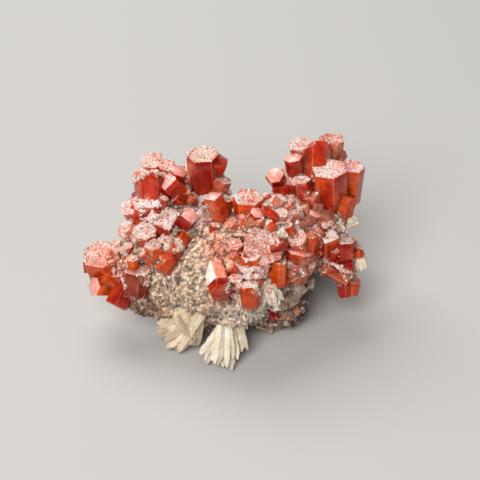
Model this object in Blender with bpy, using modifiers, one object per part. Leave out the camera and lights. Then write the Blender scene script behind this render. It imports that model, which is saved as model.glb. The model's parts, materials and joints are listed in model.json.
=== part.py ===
"""Vanadinite on barite: blocky orange-red crystals grown over a pale, sugary core with fans of barite blades.

The specimen is laid out on a view plane: across to the right, up the plane and out towards the viewer, who looks
down on it at VIEW_RISE. Every crystal is placed by the middle of its free end and runs back from there into its
cluster's root. Lengths are in millimetres in the tables and become metres on the way in.
"""

import math
import random
from collections import namedtuple

import bmesh
import bpy
from mathutils import Matrix, Vector, noise

MM = 0.001
VIEW_RISE = math.radians(38)  # how far above the horizon the viewer stands
EYE_DISTANCE = 260 * MM
PIVOT = Vector((2.9, 2.88, 14.4)) * MM  # the middle of the view plane
GAP = 0.25 * MM  # room between two pieces that touch

ROUGH_DEPTH = 0.9 * MM  # how far a lump's surface wanders
ROUGH_SIZE = 2.6 * MM  # how wide its bumps are
CORE_GRAIN = 0.8 * MM  # size of a voxel of the core
CORE_FACES = 800
FOOT_FACES = 260
CORE_SHARE = 0.5  # faces that the core keeps of those it has once its sockets are cut
FOOT_SHARE = 0.8
TABLE_SIDE = 120 * MM
TABLE_DEEP = 12 * MM
SMALLEST_EDGE = 0.001 * MM
FLAT_ANGLE = math.radians(0.05)  # faces this close to one plane are joined before they are split in triangles
LOWEST_STREWN = -0.55  # no small crystal points further down than this
STREWN_PROUD = (0.25, 0.7)  # how far one stands out of its root, in widths
STREWN_BURIED = 0.7  # how deep it runs into the root, in widths
LEAN_SPREAD = 0.35
ROOT_STEPS = 40  # places along a crystal that are tried for its buried end
ROOT_COVER = 0.9  # how far out in a root, from its middle, the corners of that end may be
GROUND = Vector((PIVOT.x, PIVOT.y, 0))

RIGHT = Vector((1, 0, 0))
UP = Vector((0, math.sin(VIEW_RISE), math.cos(VIEW_RISE)))
OUT = Vector((0, -math.cos(VIEW_RISE), math.sin(VIEW_RISE)))

# A crystal on the view plane: the middle of its free end, the turn of its axis from straight up the plane
# (clockwise) and out of it, its turn about the axis, its width across corners, its length, how flat its section is,
# how many sides it has and how far its end narrows.
Prism = namedtuple("Prism", "across up out lean toward spin wide long flat sides tip", defaults=(1.0, 6, 0.0))
# A rounded lump: its middle on the view plane and its half sizes across, up and out.
Lump = namedtuple("Lump", "across up out rx ry rz")
# A rounded lump in the room: its middle and its half sizes along X, Y and Z.
Boulder = namedtuple("Boulder", "x y z rx ry rz")
# Small crystals strewn over a cluster's roots: how many, their widths and how far they lean from the viewer's side.
Strewn = namedtuple("Strewn", "seed count thin thick frontmost")

# Where the objects go: the parts' collection, the helpers' one, the empty that carries the parts and the table.
SceneParts = namedtuple("SceneParts", "group helpers holder table")

COLOURS = {
    "vanadinite": ((0.62, 0.06, 0.015, 1), 0.22),
    "barite": ((0.80, 0.73, 0.62, 1), 0.45),
    "matrix": ((0.62, 0.50, 0.42, 1), 0.75),
    "druse": ((0.45, 0.33, 0.27, 1), 0.5),
}

CLUSTERS = {
    "vanadinite_upper_left": (
        [Lump(-15.4, 8.6, -0.2, 6.2, 6.0, 5.2)],
        [
            Prism(-17.7, 12.8, 4.5, -4, -10, 22, 6.8, 9),
            Prism(-14.6, 11.8, 7, -44, 42, 45, 4.4, 8, 1.0, 4),
            Prism(-17.6, 16.0, 1.5, -8, 46, 10, 5.0, 7),
            Prism(-14.6, 15.0, 2.5, 12, 44, 25, 4.0, 6.5),
            Prism(-12.3, 13.9, 3.0, 32, 38, 0, 3.6, 6),
            Prism(-20.2, 13.1, 2.6, -44, 36, 10, 3.6, 6.5),
            Prism(-11.6, 9.6, 5.0, 55, 30, 10, 3.4, 6),
        ],
        Strewn(43, 6, 2.4, 4.2, 0.1),
    ),
    "vanadinite_tall_crystals": (
        [Lump(-6.4, 6.6, -1.4, 4.6, 5.6, 4.6), Lump(-4, 3.4, 2.2, 3.8, 3.6, 3.2)],
        [
            Prism(-7.5, 17.2, 4, -4, 37, 30, 6.6, 13),
            Prism(-4.7, 16.2, 2.5, 24, 34, 10, 5.2, 9),
            Prism(-3.4, 12.2, 2, 26, 26, 20, 4.0, 7),
            Prism(-5.4, 8.8, 8.5, -19, 34, 0, 3.8, 11, 1.0, 4),
            Prism(-2.8, 8.4, 5, 14, 25, 10, 3.4, 6.5),
            Prism(-10.0, 13.6, 1, -22, 34, 0, 3.6, 7),
        ],
        Strewn(5, 4, 2.4, 4.0, 0.0),
    ),
    "vanadinite_left_shelf": (
        [Lump(-17.8, 2.0, 3.4, 5.6, 4.6, 4.2), Lump(-13.2, 0.2, 6.4, 4.0, 3.6, 3.2)],
        [
            Prism(-15.4, 4.8, 9.5, 4, 53, 113, 7.6, 7.5, 0.95, 4),
            Prism(-9.9, 4.9, 11, 40, 50, 45, 4.0, 7.5, 1.0, 4),
            Prism(-21.6, 6.8, 5.5, -26, 48, 0, 5.0, 7),
            Prism(-22.6, 2.2, 6.5, -34, 52, 20, 4.4, 7),
            Prism(-15.6, -6.4, 12.0, -148, 20, 30, 3.0, 9),
            Prism(-19.0, 2.0, 9, -10, 56, 0, 4.6, 6),
            Prism(-17.4, -0.8, 10, 5, 45, 0, 3.6, 6),
            Prism(-19.6, 6.6, 8, 12, 40, 10, 3.4, 6),
        ],
        Strewn(7, 4, 2.0, 3.4, 0.3),
    ),
    "vanadinite_left_tip": (
        [Lump(-23.2, -6.4, 2.8, 6.2, 4.6, 4.2)],
        [
            Prism(-29.2, -9.3, 7, -88, 40, 0, 4.0, 8.5),
            Prism(-24.9, -13.2, 6, -152, 8, 0, 5.0, 7.5),
            Prism(-20.6, -5.8, 9, 6, 28, 12, 5.6, 5.4),
            Prism(-27.8, -2.8, 6.5, -12, 48, 0, 7.6, 5.4),
            Prism(-21.6, -3.6, 10, 0, 40, 15, 2.6, 5),
            Prism(-24.6, -1.2, 6, 4, 45, 0, 3.6, 5),
            Prism(-24.6, -6.2, 6.6, -14, 34, 0, 3.8, 5),
            Prism(-27.4, -7.0, 7.2, -40, 35, 10, 3.4, 5),
        ],
        Strewn(11, 5, 2.4, 3.8, 0.1),
    ),
    "vanadinite_centre": (
        [Lump(3.6, 1.8, 6.4, 5.4, 5.8, 4.6), Lump(4.6, -3.6, 8.8, 4.4, 3.8, 3.4)],
        [
            Prism(1.6, 8.6, 8, -4, 35, 20, 6.2, 8.5),
            Prism(3.4, 5.5, 10.6, 25, 45, 0, 2.8, 6),
            Prism(5.7, 6.1, 9.6, 30, 40, 0, 3.0, 6),
            Prism(4.7, -1.3, 13, 18, 56, 10, 8.6, 5.5),
            Prism(7.9, -4.2, 13, 3, 22, 0, 3.2, 5),
            Prism(2.2, -3.2, 14.2, -8, 28, 30, 4.2, 6),
            Prism(-1.0, -0.8, 12.4, -10, 50, 10, 3.2, 6),
            Prism(8.4, -0.6, 12, 40, 40, 20, 3.0, 5),
        ],
        Strewn(13, 4, 1.8, 2.8, 0.9),
    ),
    "vanadinite_front": (
        [Lump(-0.8, -9.4, 9.8, 5.2, 3.6, 3.8)],
        [
            Prism(-3.7, -10.6, 16, 162, 46, 20, 4.6, 10),
            Prism(1.7, -8.8, 15, -8, 25, 30, 3.8, 4.6),
            Prism(-1.2, -7.6, 14, -12, 50, 10, 2.6, 4),
        ],
        Strewn(17, 3, 1.6, 2.4, 0.9),
    ),
    "vanadinite_centre_right": (
        [Lump(12.6, 1.0, 4.0, 5.6, 5.2, 4.2)],
        [
            Prism(14.0, 1.2, 9, 6, 32, 30, 4.2, 6),
            Prism(11.4, 0.4, 10, -35, 52, 0, 4.2, 6),
            Prism(11.8, -2.2, 9.6, 10, 22, 25, 5.4, 6),
            Prism(13.3, 4.0, 7.4, 0, 58, 0, 2.8, 5),
            Prism(17.2, 4.6, 6.4, 10, 58, 20, 4.0, 6),
            Prism(9.0, 4.5, 9, -30, 48, 0, 3.2, 6),
            Prism(14.6, -4.2, 7.4, 60, 26, 0, 2.8, 5),
        ],
        Strewn(19, 4, 1.8, 2.8, 0.5),
    ),
    "vanadinite_upper_right": (
        [Lump(16.6, 11.4, -2.2, 6.0, 6.0, 5.4), Lump(10.6, 10.4, -1.8, 4.6, 4.6, 4.4)],
        [
            Prism(17.9, 14.3, 5.5, -4, 38, 6, 7.4, 9),
            Prism(22.4, 14.8, 2, 5, 32, 30, 5.4, 8),
            Prism(12.0, 19.2, 0, -15, 40, 0, 5.0, 9),
            Prism(10.6, 16.5, 2.5, -13, 35, 30, 3.8, 7.5),
            Prism(15.8, 18.8, 0, 4, -24, 30, 5.2, 8),
            Prism(18.4, 20.2, -2, 5, 35, 20, 5.2, 10),
            Prism(7.0, 13.0, 3, -35, 58, 0, 3.6, 7),
            Prism(8.2, 10.8, 2, -10, 15, 0, 4.2, 6),
            Prism(12.2, 12.0, 4.5, -12, 20, 20, 4.2, 6.5),
            Prism(21.7, 8.9, 2.6, 16, 18, 10, 4.0, 6),
            Prism(14.2, 9.0, 5.2, -24, 30, 0, 3.4, 5.5),
        ],
        Strewn(23, 8, 2.8, 4.8, -0.1),
    ),
    "vanadinite_right_tip": (
        [Lump(19.4, -2.0, 1.8, 4.2, 4.2, 3.6), Lump(20.8, -6.4, 0.4, 2.8, 2.6, 2.4)],
        [
            Prism(17.8, 1.0, 6.4, -5, 46, 66, 5.0, 6.5, 0.83, 4),
            Prism(21.1, 0.0, 5, -2, 24, 30, 4.2, 6),
            Prism(22.7, -5.3, 5, 82, 12, 30, 2.8, 6.5),
            Prism(23.7, -1.1, 3.4, 60, 22, 0, 2.8, 5.5),
            Prism(20.6, -8.4, 2, -12, 24, 0, 3.2, 3),
            Prism(22.9, -8.0, 2, 12, 28, 0, 3.0, 3),
            Prism(17.2, -5.6, 4.6, -60, 10, 20, 2.8, 5),
        ],
        Strewn(29, 4, 2.0, 3.2, -0.2),
    ),
}
BACK_ROOTS = [Boulder(-5, 9.4, 11, 6, 4.2, 5.4), Boulder(6, 10.4, 9.6, 6, 4.4, 5.2)]
BACK_STREWN = Strewn(31, 16, 3.2, 5.8, -0.15)

BLADES = {
    "barite_blade_fan": (
        [Lump(-3.0, -15.6, 7.4, 3.8, 2.8, 2.4)],
        [
            Prism(-7.8, -23.2, 8.6, -142, -4, 0, 2.8, 9, 0.6, 6, 0.5),
            Prism(-6.8, -24.9, 9.2, -156, 0, 20, 2.8, 11, 0.6, 6, 0.5),
            Prism(-4.8, -26.2, 9.6, -171, 2, 10, 3.4, 12, 0.6, 6, 0.4),
            Prism(-2.6, -26.5, 10, 178, 4, -10, 3.0, 13, 0.6, 6, 0.4),
            Prism(-1.0, -25.0, 9.4, 172, 2, 20, 3.0, 12, 0.6, 6, 0.5),
            Prism(0.4, -22.6, 8.0, 170, -2, 0, 3.0, 10, 0.6, 6, 0.5),
            Prism(0.6, -18.6, 6.8, 160, -6, 0, 2.8, 7, 0.7, 6, 0.5),
        ],
    ),
    "barite_blade_block": (
        [Lump(-11.0, -15.4, 7.4, 3.2, 3.4, 3.0)],
        [
            Prism(-16.6, -18.8, 6.4, -118, -12, 0, 5.4, 10, 0.55, 6, 0.25),
            Prism(-14.4, -21.8, 4.6, -144, -26, 20, 6.4, 12, 0.6, 6, 0.3),
            Prism(-10.6, -21.6, 5, -166, -30, 0, 5.0, 12, 0.6, 6, 0.4),
            Prism(-12.2, -13.4, 11, -34, 40, 30, 5.6, 6, 0.7, 6, 0.3),
            Prism(-9.0, -20.6, 6.4, 168, -20, 0, 3.6, 9, 0.6, 6, 0.5),
        ],
    ),
    "barite_blades_front": (
        [Lump(5.8, -11.6, 10.0, 2.8, 2.3, 2.2)],
        [
            Prism(8.1, -13.0, 11.4, 152, 12, 10, 2.8, 6, 0.8, 6, 0.2),
            Prism(6.0, -9.0, 13.2, -16, 34, 0, 2.8, 5, 0.8, 6, 0.2),
            Prism(3.2, -14.4, 10.6, 196, -6, 0, 2.4, 6, 0.7, 6, 0.4),
        ],
    ),
    "barite_blades_upper_right": (
        [Lump(20.4, 3.8, 0.2, 2.0, 1.8, 1.8)],
        [
            Prism(24.1, 4.3, 1.6, 88, 8, 0, 2.6, 6, 0.6, 6, 0.5),
            Prism(23.6, 3.0, 1.8, 104, 8, 30, 2.6, 6, 0.6, 6, 0.5),
            Prism(22.4, 1.9, 1.8, 122, 4, 0, 2.4, 5.5, 0.6, 6, 0.5),
        ],
    ),
    "barite_blade_right": (
        [Lump(24.0, -3.9, 2.0, 1.3, 1.7, 1.6)],
        [
            Prism(24.6, -6.3, 3.4, 166, 10, 20, 2.8, 5, 0.6, 6, 0.4),
            Prism(25.0, -2.6, 3.0, 30, 25, 0, 2.0, 4, 0.7, 6, 0.4),
        ],
    ),
}

CORE_LUMPS = [
    Lump(-7, -9, 6, 9, 8.6, 8),
    Lump(-1, -5, 5.6, 10.5, 8.6, 7),
    Lump(6, 1, 3, 9, 8, 7.6),
    Lump(-12, 0, 3.6, 8, 7, 6.6),
    Lump(-18, -7, 4, 6, 4.6, 4.6),
    Lump(-18.6, -11.4, 4, 4.6, 3.8, 4),
    Lump(0, 3.4, 0, 6, 4.6, 6),
    Lump(12, 5.4, -0.4, 8, 4.8, 6.2),
    Lump(17, 3, 0, 5, 5, 4.6),
    Lump(-12.4, -11.6, 5, 6, 5.6, 5.6),
    Lump(-2.6, -13.4, 7, 6.6, 4.6, 5.6),
    Lump(-21.6, -2.2, 4.6, 3.6, 3.0, 3.4),
    Boulder(3, 6, 9.0, 13, 7.4, 9.6),
    Boulder(-6, 3, 8.6, 9, 7.4, 9.2),
    Boulder(12, 7, 8.6, 7.4, 6.2, 9.2),
]
FOOT_LUMPS = [
    Lump(7.4, -8.4, 3.0, 6.2, 5.2, 6),
    Lump(8.6, -13.2, 0.6, 4.4, 4.4, 4.6),
    Lump(5.2, -14.8, -0.6, 4.2, 3.6, 4),
    Lump(11.0, -4.6, 3.0, 4.4, 4.2, 4.4),
]


def on_view(across, up, out):
    """The point in the room that is seen at that place of the view plane, that far in front of it."""
    eye = OUT * EYE_DISTANCE
    seen = (RIGHT * across + UP * up) * MM
    return PIVOT + eye + (seen - eye) * (1 - out * MM / EYE_DISTANCE)


def axis_of(prism):
    lean, toward = math.radians(prism.lean), math.radians(prism.toward)
    in_plane = RIGHT * math.sin(lean) + UP * math.cos(lean)
    return in_plane * math.cos(toward) + OUT * math.sin(toward)


def spun_frame(axis, end, spin, long):
    """Local Z along the axis, local Y to the viewer's side before the spin, and the middle of the length."""
    front = (OUT - axis * OUT.dot(axis)).normalized()
    turned = Matrix((front.cross(axis), front, axis)).transposed().to_4x4()
    return Matrix.Translation(end - axis * long / 2) @ turned @ Matrix.Rotation(math.radians(spin), 4, "Z")


def mesh_from(bm, name):
    mesh = bpy.data.meshes.new(name)
    bm.to_mesh(mesh)
    bm.free()
    return mesh


def crystal_mesh(prism, end, axis, grow=0.0):
    """One closed prism. Grown, it is the socket that holds it with that much room all round."""
    bm = bmesh.new()
    radius = prism.wide * MM / 2
    outer = radius + grow / math.cos(math.pi / prism.sides)
    long = prism.long * MM + 2 * grow
    bmesh.ops.create_cone(bm, cap_ends=True, segments=prism.sides, radius1=outer, radius2=outer, depth=long)
    if prism.tip:
        cap = max(bm.faces, key=lambda face: face.calc_center_median().z)
        tip = bmesh.ops.extrude_face_region(bm, geom=[cap])["geom"]
        bmesh.ops.delete(bm, geom=[cap], context="FACES")
        ends = [piece for piece in tip if isinstance(piece, bmesh.types.BMVert)]
        below = [corner for corner in bm.verts if corner not in ends and corner.co.z > 0]
        bmesh.ops.translate(bm, verts=below, vec=(0, 0, -prism.tip * prism.wide * MM))
        bmesh.ops.scale(bm, verts=ends, vec=(1 - prism.tip, 1 - prism.tip, 1))
    flatter = (prism.flat * radius + grow) / (radius + grow)
    frame = spun_frame(axis, end, prism.spin, prism.long * MM)
    bm.transform(frame @ Matrix.Diagonal((1, flatter, 1, 1)))
    return mesh_from(bm, "crystal")


def lump_frame(lump):
    if isinstance(lump, Boulder):
        return Matrix.Translation(GROUND + Vector((lump.x, lump.y, lump.z)) * MM)
    turned = Matrix((RIGHT, UP, OUT)).transposed().to_4x4()
    return Matrix.Translation(on_view(lump.across, lump.up, lump.out)) @ turned


def lump_sizes(lump):
    return Vector((lump.rx, lump.ry, lump.rz)) * MM


def lump_mesh(lump, detail=1, grow=0.0):
    """One closed, knobbly lump. Its bumps stay where they are when it is grown."""
    bm = bmesh.new()
    bmesh.ops.create_icosphere(bm, subdivisions=detail, radius=1)
    frame, sizes = lump_frame(lump), lump_sizes(lump)
    for corner in bm.verts:
        outward = frame.to_3x3() @ corner.co.normalized()
        on_lump = frame @ (corner.co * sizes)
        bump = noise.noise(on_lump / ROUGH_SIZE) * ROUGH_DEPTH
        corner.co = on_lump + outward * (bump + grow)
    return mesh_from(bm, "lump")


def strewn_crystals(roots, strewn):
    """Small crystals that stand out of the roots in seeded directions, as (prism, end, axis)."""
    dice = random.Random(strewn.seed)
    grown = []
    while len(grown) < strewn.count:
        root = dice.choice(roots)
        way = Vector((dice.gauss(0, 1), dice.gauss(0, 1), dice.gauss(0, 1))).normalized()
        frame = lump_frame(root)
        axis = (frame.to_3x3() @ way).normalized()
        if axis.dot(OUT) > strewn.frontmost or axis.z < LOWEST_STREWN:
            continue
        wide = dice.uniform(strewn.thin, strewn.thick)
        proud = dice.uniform(*STREWN_PROUD) * wide
        end = frame @ (way * lump_sizes(root)) + axis * proud * MM
        leaning = (axis + Vector((dice.uniform(-1, 1), dice.uniform(-1, 1), dice.uniform(-1, 1))) * LEAN_SPREAD)
        prism = Prism(0, 0, 0, 0, 0, dice.uniform(0, 60), wide, proud + wide * STREWN_BURIED)
        grown.append((prism, end, leaning.normalized()))
    return grown


def covered(point, root):
    place, sizes = lump_frame(root).inverted() @ point, lump_sizes(root)
    return Vector(place[i] / sizes[i] for i in range(3)).length < ROOT_COVER


def rooted(prism, end, axis, roots):
    """The crystal, shortened to end as soon as its roots cover every corner of its buried end."""
    radius = prism.wide * MM / 2
    turns = [math.tau * side / prism.sides for side in range(prism.sides)]
    for step in range(1, ROOT_STEPS):
        long = prism.long * step / ROOT_STEPS
        frame = spun_frame(axis, end, prism.spin, long * MM)
        rim = [
            frame @ Vector((radius * math.cos(turn), radius * prism.flat * math.sin(turn), -long * MM / 2))
            for turn in turns
        ]
        if all(any(covered(corner, root) for root in roots) for corner in rim):
            return prism._replace(long=long)
    return prism


def seen_crystals(prisms, roots):
    placed = [(prism, on_view(prism.across, prism.up, prism.out), axis_of(prism)) for prism in prisms]
    return [(rooted(prism, end, axis, roots), end, axis) for prism, end, axis in placed]


def new_collection(name, parent):
    group = bpy.data.collections.new(name)
    parent.children.link(group)
    return group


def helper(mesh, group):
    thing = bpy.data.objects.new("helper", mesh)
    thing.hide_render = True
    thing.display_type = "WIRE"
    group.objects.link(thing)
    return thing


def combine(thing, others, operation):
    """One exact Boolean of the object with everything in the other collection."""
    modifier = thing.modifiers.new(f"{operation.lower()} {others.name}", "BOOLEAN")
    modifier.operation = operation
    modifier.operand_type = "COLLECTION"
    modifier.collection = others
    modifier.solver = "EXACT"


def largest_body(bm):
    """Deletes every loose crumb that a cut has left beside the largest body."""
    unseen, bodies = set(bm.verts), []
    while unseen:
        body, edge_of_body = set(), [unseen.pop()]
        while edge_of_body:
            corner = edge_of_body.pop()
            body.add(corner)
            for edge in corner.link_edges:
                other = edge.other_vert(corner)
                if other in unseen:
                    unseen.discard(other)
                    edge_of_body.append(other)
        bodies.append(body)
    kept = max(bodies, key=len)
    crumbs = [corner for body in bodies if body is not kept for corner in body]
    bmesh.ops.delete(bm, geom=crumbs, context="VERTS")


def settle(thing):
    """Applies the object's modifiers and cleans what the Booleans leave: slivers, crumbs and unsplit faces."""
    graph = bpy.context.evaluated_depsgraph_get()
    mesh = bpy.data.meshes.new_from_object(thing.evaluated_get(graph))
    thing.modifiers.clear()
    bm = bmesh.new()
    bm.from_mesh(mesh)
    bmesh.ops.remove_doubles(bm, verts=bm.verts, dist=SMALLEST_EDGE)
    bmesh.ops.dissolve_degenerate(bm, edges=bm.edges, dist=SMALLEST_EDGE)
    largest_body(bm)
    bmesh.ops.dissolve_limit(bm, angle_limit=FLAT_ANGLE, verts=bm.verts, edges=bm.edges)
    bmesh.ops.triangulate(bm, faces=bm.faces)
    bm.to_mesh(mesh)
    bm.free()
    mesh.name = thing.name
    thing.data = mesh


def paint(thing, colour_name):
    colour, roughness = COLOURS[colour_name]
    material = bpy.data.materials.get(colour_name) or bpy.data.materials.new(colour_name)
    material.use_nodes = True
    shader = material.node_tree.nodes["Principled BSDF"]
    shader.inputs["Base Color"].default_value = colour
    shader.inputs["Roughness"].default_value = roughness
    thing.data.materials.clear()
    thing.data.materials.append(material)


def add_piece(name, mesh, colour_name, scene_parts):
    thing = bpy.data.objects.new(name, mesh)
    thing.parent = scene_parts.holder
    scene_parts.group.objects.link(thing)
    paint(thing, colour_name)
    return thing


def grow_piece(name, colour_name, roots, crystals, scene_parts, blocked):
    """Joins roots and crystals in one solid, less the sockets of what already grew, and makes its own socket."""
    shapes = new_collection(f"{name} shapes", scene_parts.helpers)
    socket = new_collection(f"{name} socket", scene_parts.helpers)
    for root in roots[1:]:
        helper(lump_mesh(root), shapes)
    for crystal in crystals:
        helper(crystal_mesh(*crystal), shapes)
        helper(crystal_mesh(*crystal, grow=GAP), socket)
    for root in roots:
        helper(lump_mesh(root, grow=GAP), socket)
    thing = add_piece(name, lump_mesh(roots[0]), colour_name, scene_parts)
    combine(thing, shapes, "UNION")
    for earlier in blocked:
        combine(thing, earlier, "DIFFERENCE")
    combine(thing, scene_parts.table, "DIFFERENCE")
    settle(thing)
    return socket


def mass_of_lumps(name, colour_name, lumps, faces, share, scene_parts, blocked):
    """Lumps run together into one rough mass, less the sockets of everything that is seated in it."""
    joined = bmesh.new()
    for lump in lumps:
        joined.from_mesh(lump_mesh(lump, detail=3))
    thing = add_piece(name, mesh_from(joined, name), colour_name, scene_parts)
    remesh = thing.modifiers.new("run together", "REMESH")
    remesh.mode = "VOXEL"
    remesh.voxel_size = CORE_GRAIN
    settle(thing)
    fewer = thing.modifiers.new("fewer faces", "DECIMATE")
    fewer.ratio = faces / len(thing.data.polygons)
    for earlier in blocked:
        combine(thing, earlier, "DIFFERENCE")
    settle(thing)
    slimmer = thing.modifiers.new("slimmer sockets", "DECIMATE")
    slimmer.ratio = share
    combine(thing, scene_parts.table, "DIFFERENCE")
    settle(thing)


def table_cutter(group):
    """A block under the table's level, which cuts the feet flat."""
    bm = bmesh.new()
    bmesh.ops.create_cube(bm, size=1)
    bm.transform(
        Matrix.Translation((0, 0, -TABLE_DEEP / 2)) @ Matrix.Diagonal((TABLE_SIDE, TABLE_SIDE, TABLE_DEEP, 1))
    )
    helper(mesh_from(bm, "table"), group)


def foot_socket(group):
    for lump in FOOT_LUMPS:
        helper(lump_mesh(lump, detail=3, grow=GAP), group)


def main():
    for thing in list(bpy.data.objects):
        bpy.data.objects.remove(thing)
    scene = bpy.context.scene.collection
    group = new_collection("vanadinite specimen", scene)
    helpers = new_collection("cutters and shapes", scene)
    table = new_collection("table", helpers)
    table_cutter(table)
    holder = bpy.data.objects.new("specimen", None)
    group.objects.link(holder)
    parts = SceneParts(group, helpers, holder, table)

    sockets = []
    for name, (roots, prisms, strewn) in CLUSTERS.items():
        crystals = seen_crystals(prisms, roots) + strewn_crystals(roots, strewn)
        sockets.append(grow_piece(name, "vanadinite", roots, crystals, parts, sockets))
    back = strewn_crystals(BACK_ROOTS, BACK_STREWN)
    sockets.append(grow_piece("vanadinite_back", "vanadinite", BACK_ROOTS, back, parts, sockets))
    for name, (roots, prisms) in BLADES.items():
        sockets.append(grow_piece(name, "barite", roots, seen_crystals(prisms, roots), parts, sockets))
    mass_of_lumps("drusy_foot", "druse", FOOT_LUMPS, FOOT_FACES, FOOT_SHARE, parts, sockets)
    around_foot = new_collection("foot socket", helpers)
    foot_socket(around_foot)
    seats = [*sockets, around_foot]
    mass_of_lumps("barite_matrix", "matrix", CORE_LUMPS, CORE_FACES, CORE_SHARE, parts, seats)


if __name__ == "__main__":
    main()
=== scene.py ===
import json
import math
import random

import bmesh
import bpy
import numpy as np
from mathutils import Matrix, Vector, noise
from mathutils.bvhtree import BVHTree

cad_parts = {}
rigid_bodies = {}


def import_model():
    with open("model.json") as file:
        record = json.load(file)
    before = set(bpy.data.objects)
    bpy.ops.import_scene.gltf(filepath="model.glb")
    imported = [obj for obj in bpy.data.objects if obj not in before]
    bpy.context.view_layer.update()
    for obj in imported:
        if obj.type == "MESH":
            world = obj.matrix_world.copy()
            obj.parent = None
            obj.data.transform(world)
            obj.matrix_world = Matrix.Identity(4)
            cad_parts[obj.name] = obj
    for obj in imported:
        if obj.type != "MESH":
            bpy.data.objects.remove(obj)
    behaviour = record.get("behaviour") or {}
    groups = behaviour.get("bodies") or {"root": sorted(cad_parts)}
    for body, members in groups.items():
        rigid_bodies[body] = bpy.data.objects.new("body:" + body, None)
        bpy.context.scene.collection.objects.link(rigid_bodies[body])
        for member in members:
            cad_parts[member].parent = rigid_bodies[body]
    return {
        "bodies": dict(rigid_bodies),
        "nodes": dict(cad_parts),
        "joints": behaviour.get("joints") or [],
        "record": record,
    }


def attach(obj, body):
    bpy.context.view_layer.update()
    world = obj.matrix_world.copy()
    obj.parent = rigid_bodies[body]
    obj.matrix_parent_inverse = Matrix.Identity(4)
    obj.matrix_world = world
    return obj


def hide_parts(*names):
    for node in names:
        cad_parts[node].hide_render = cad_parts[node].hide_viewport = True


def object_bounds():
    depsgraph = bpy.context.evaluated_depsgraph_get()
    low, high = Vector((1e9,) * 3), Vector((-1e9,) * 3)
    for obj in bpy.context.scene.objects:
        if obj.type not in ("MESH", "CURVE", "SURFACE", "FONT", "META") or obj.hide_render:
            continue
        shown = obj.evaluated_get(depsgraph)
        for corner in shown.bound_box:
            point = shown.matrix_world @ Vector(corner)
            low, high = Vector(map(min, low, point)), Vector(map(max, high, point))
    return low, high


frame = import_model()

nodes = frame["nodes"]
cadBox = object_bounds()
mm = 0.001
noise.seed_set(7)  # or its vectors differ each run

# The photo looks down on the specimen. Across, up and out are measured in mm from the middle of its view plane.
photoView = {"middle": Vector((2.9, 2.88, 14.4)) * mm, "rise": 38, "distance": 260 * mm}

rise = math.radians(photoView["rise"])
viewRight = Vector((1, 0, 0))
viewUp = Vector((0, math.sin(rise), math.cos(rise)))
viewOut = Vector((0, -math.cos(rise), math.sin(rise)))
viewAxes = Matrix((viewRight, viewUp, viewOut)).transposed()
eye = photoView["middle"] + viewOut * photoView["distance"]


def onView(across, upward, outward):
    seen = photoView["middle"] + (viewRight * across + viewUp * upward) * mm
    return eye + (seen - eye) * (1 - outward * mm / photoView["distance"])


def inView(points):
    # how far across and up the view plane each point is seen, in mm
    away = (points - np.array(eye)) @ np.array(viewAxes)
    return away[:, :2] * (photoView["distance"] / -away[:, 2] / mm)[:, None]


def tone(*parts):
    # a colour as a photo shows it, 0 to 255, made linear
    return np.array([((v / 255 + 0.055) / 1.055) ** 2.4 for v in parts])


# The two brightest oranges are tones of painted glow, and the darkest brown is the painted shade of a hollow.
tones = {
    "red": tone(208, 60, 30), "deep": tone(188, 40, 24), "dark": tone(168, 36, 24), "brown": tone(172, 70, 46),
    "orange": tone(228, 90, 28), "banded": tone(196, 48, 28), "glow": tone(250, 112, 42), "flame": tone(255, 122, 72), "rose": tone(230, 118, 94), "mauve": tone(204, 134, 122),
    "pink": tone(246, 180, 166), "white": tone(253, 243, 234), "cream": tone(250, 232, 212),
    "salmon": tone(236, 142, 112), "peach": tone(226, 172, 146), "sand": tone(216, 194, 170),
    "umber": tone(122, 86, 64), "grey": tone(146, 132, 120), "hollowShade": tone(66, 38, 32), "ivory": tone(252, 241, 224), "tan": tone(184, 152, 126),
}

# Warm and dark places on the crystals, in part their own tones, in part painted glow and painted shade: across, up and
# reach on the view plane in mm, tone, strength.
tintsAndPaintedLight = [
    (-20, 10, 2.2, "red", 0.7), (-16, 8.8, 2.4, "deep", 0.8), (-3.6, 16.8, 1.6, "red", 0.9),
    (-4, 5.6, 2, "flame", 0.85), (-28.8, -6.4, 1.8, "orange", 0.8),
    (-26.8, -9.6, 1.8, "glow", 0.7), (-24.4, -12.8, 1.6, "deep", 0.8), (-21.6, -4.8, 1.2, "glow", 0.7),
    (-21.2, -9.2, 2, "brown", 0.9), (-13.6, -4.4, 2.4, "orange", 0.6), (-11, 3.2, 1.8, "deep", 0.9),
    (-17, 2.4, 2, "red", 0.8), (1, 6.8, 2.4, "orange", 0.9), (2, -4.4, 1.6, "glow", 0.8), (8, -5.8, 1.6, "glow", 0.9),
    (-2.8, -10.4, 1.8, "deep", 0.8), (2, -11.6, 1.8, "orange", 0.8), (14, -0.6, 1.8, "glow", 0.8),
    (12, -4.4, 2, "brown", 0.7), (16, 12, 1.8, "orange", 0.9), (18.4, 9.6, 1.8, "red", 0.8),
    (20, 11.2, 1.6, "dark", 0.7), (22.8, 11.6, 1.6, "glow", 0.9), (21.6, 7.2, 2.2, "flame", 0.7),
    (15.8, 17.2, 1.6, "red", 0.9), (11.8, 17.4, 1.2, "pink", 0.8), (12.8, 14.4, 1.4, "salmon", 0.7), (10.2, 14, 1.6, "deep", 0.8), (7.6, 10, 1.8, "dark", 0.8),
    (12, 10.4, 1.8, "deep", 0.8), (18.4, 0, 1.4, "glow", 0.8), (19.4, -2.4, 1.8, "deep", 0.8),
    (19.6, -5.6, 1.8, "deep", 0.7), (23.2, -8.6, 1.2, "orange", 0.7), (20.6, -9.4, 1.2, "deep", 0.8),
    (-7.2, 10.4, 2.2, "deep", 0.7), (-6.8, 6.4, 1.5, "pink", 0.95), (19.8, 18.4, 1.6, "salmon", 0.9),
    (-9.9, 14.4, 1.2, "salmon", 0.8), (4.6, 9, 1.4, "rose", 0.5),
]
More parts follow.
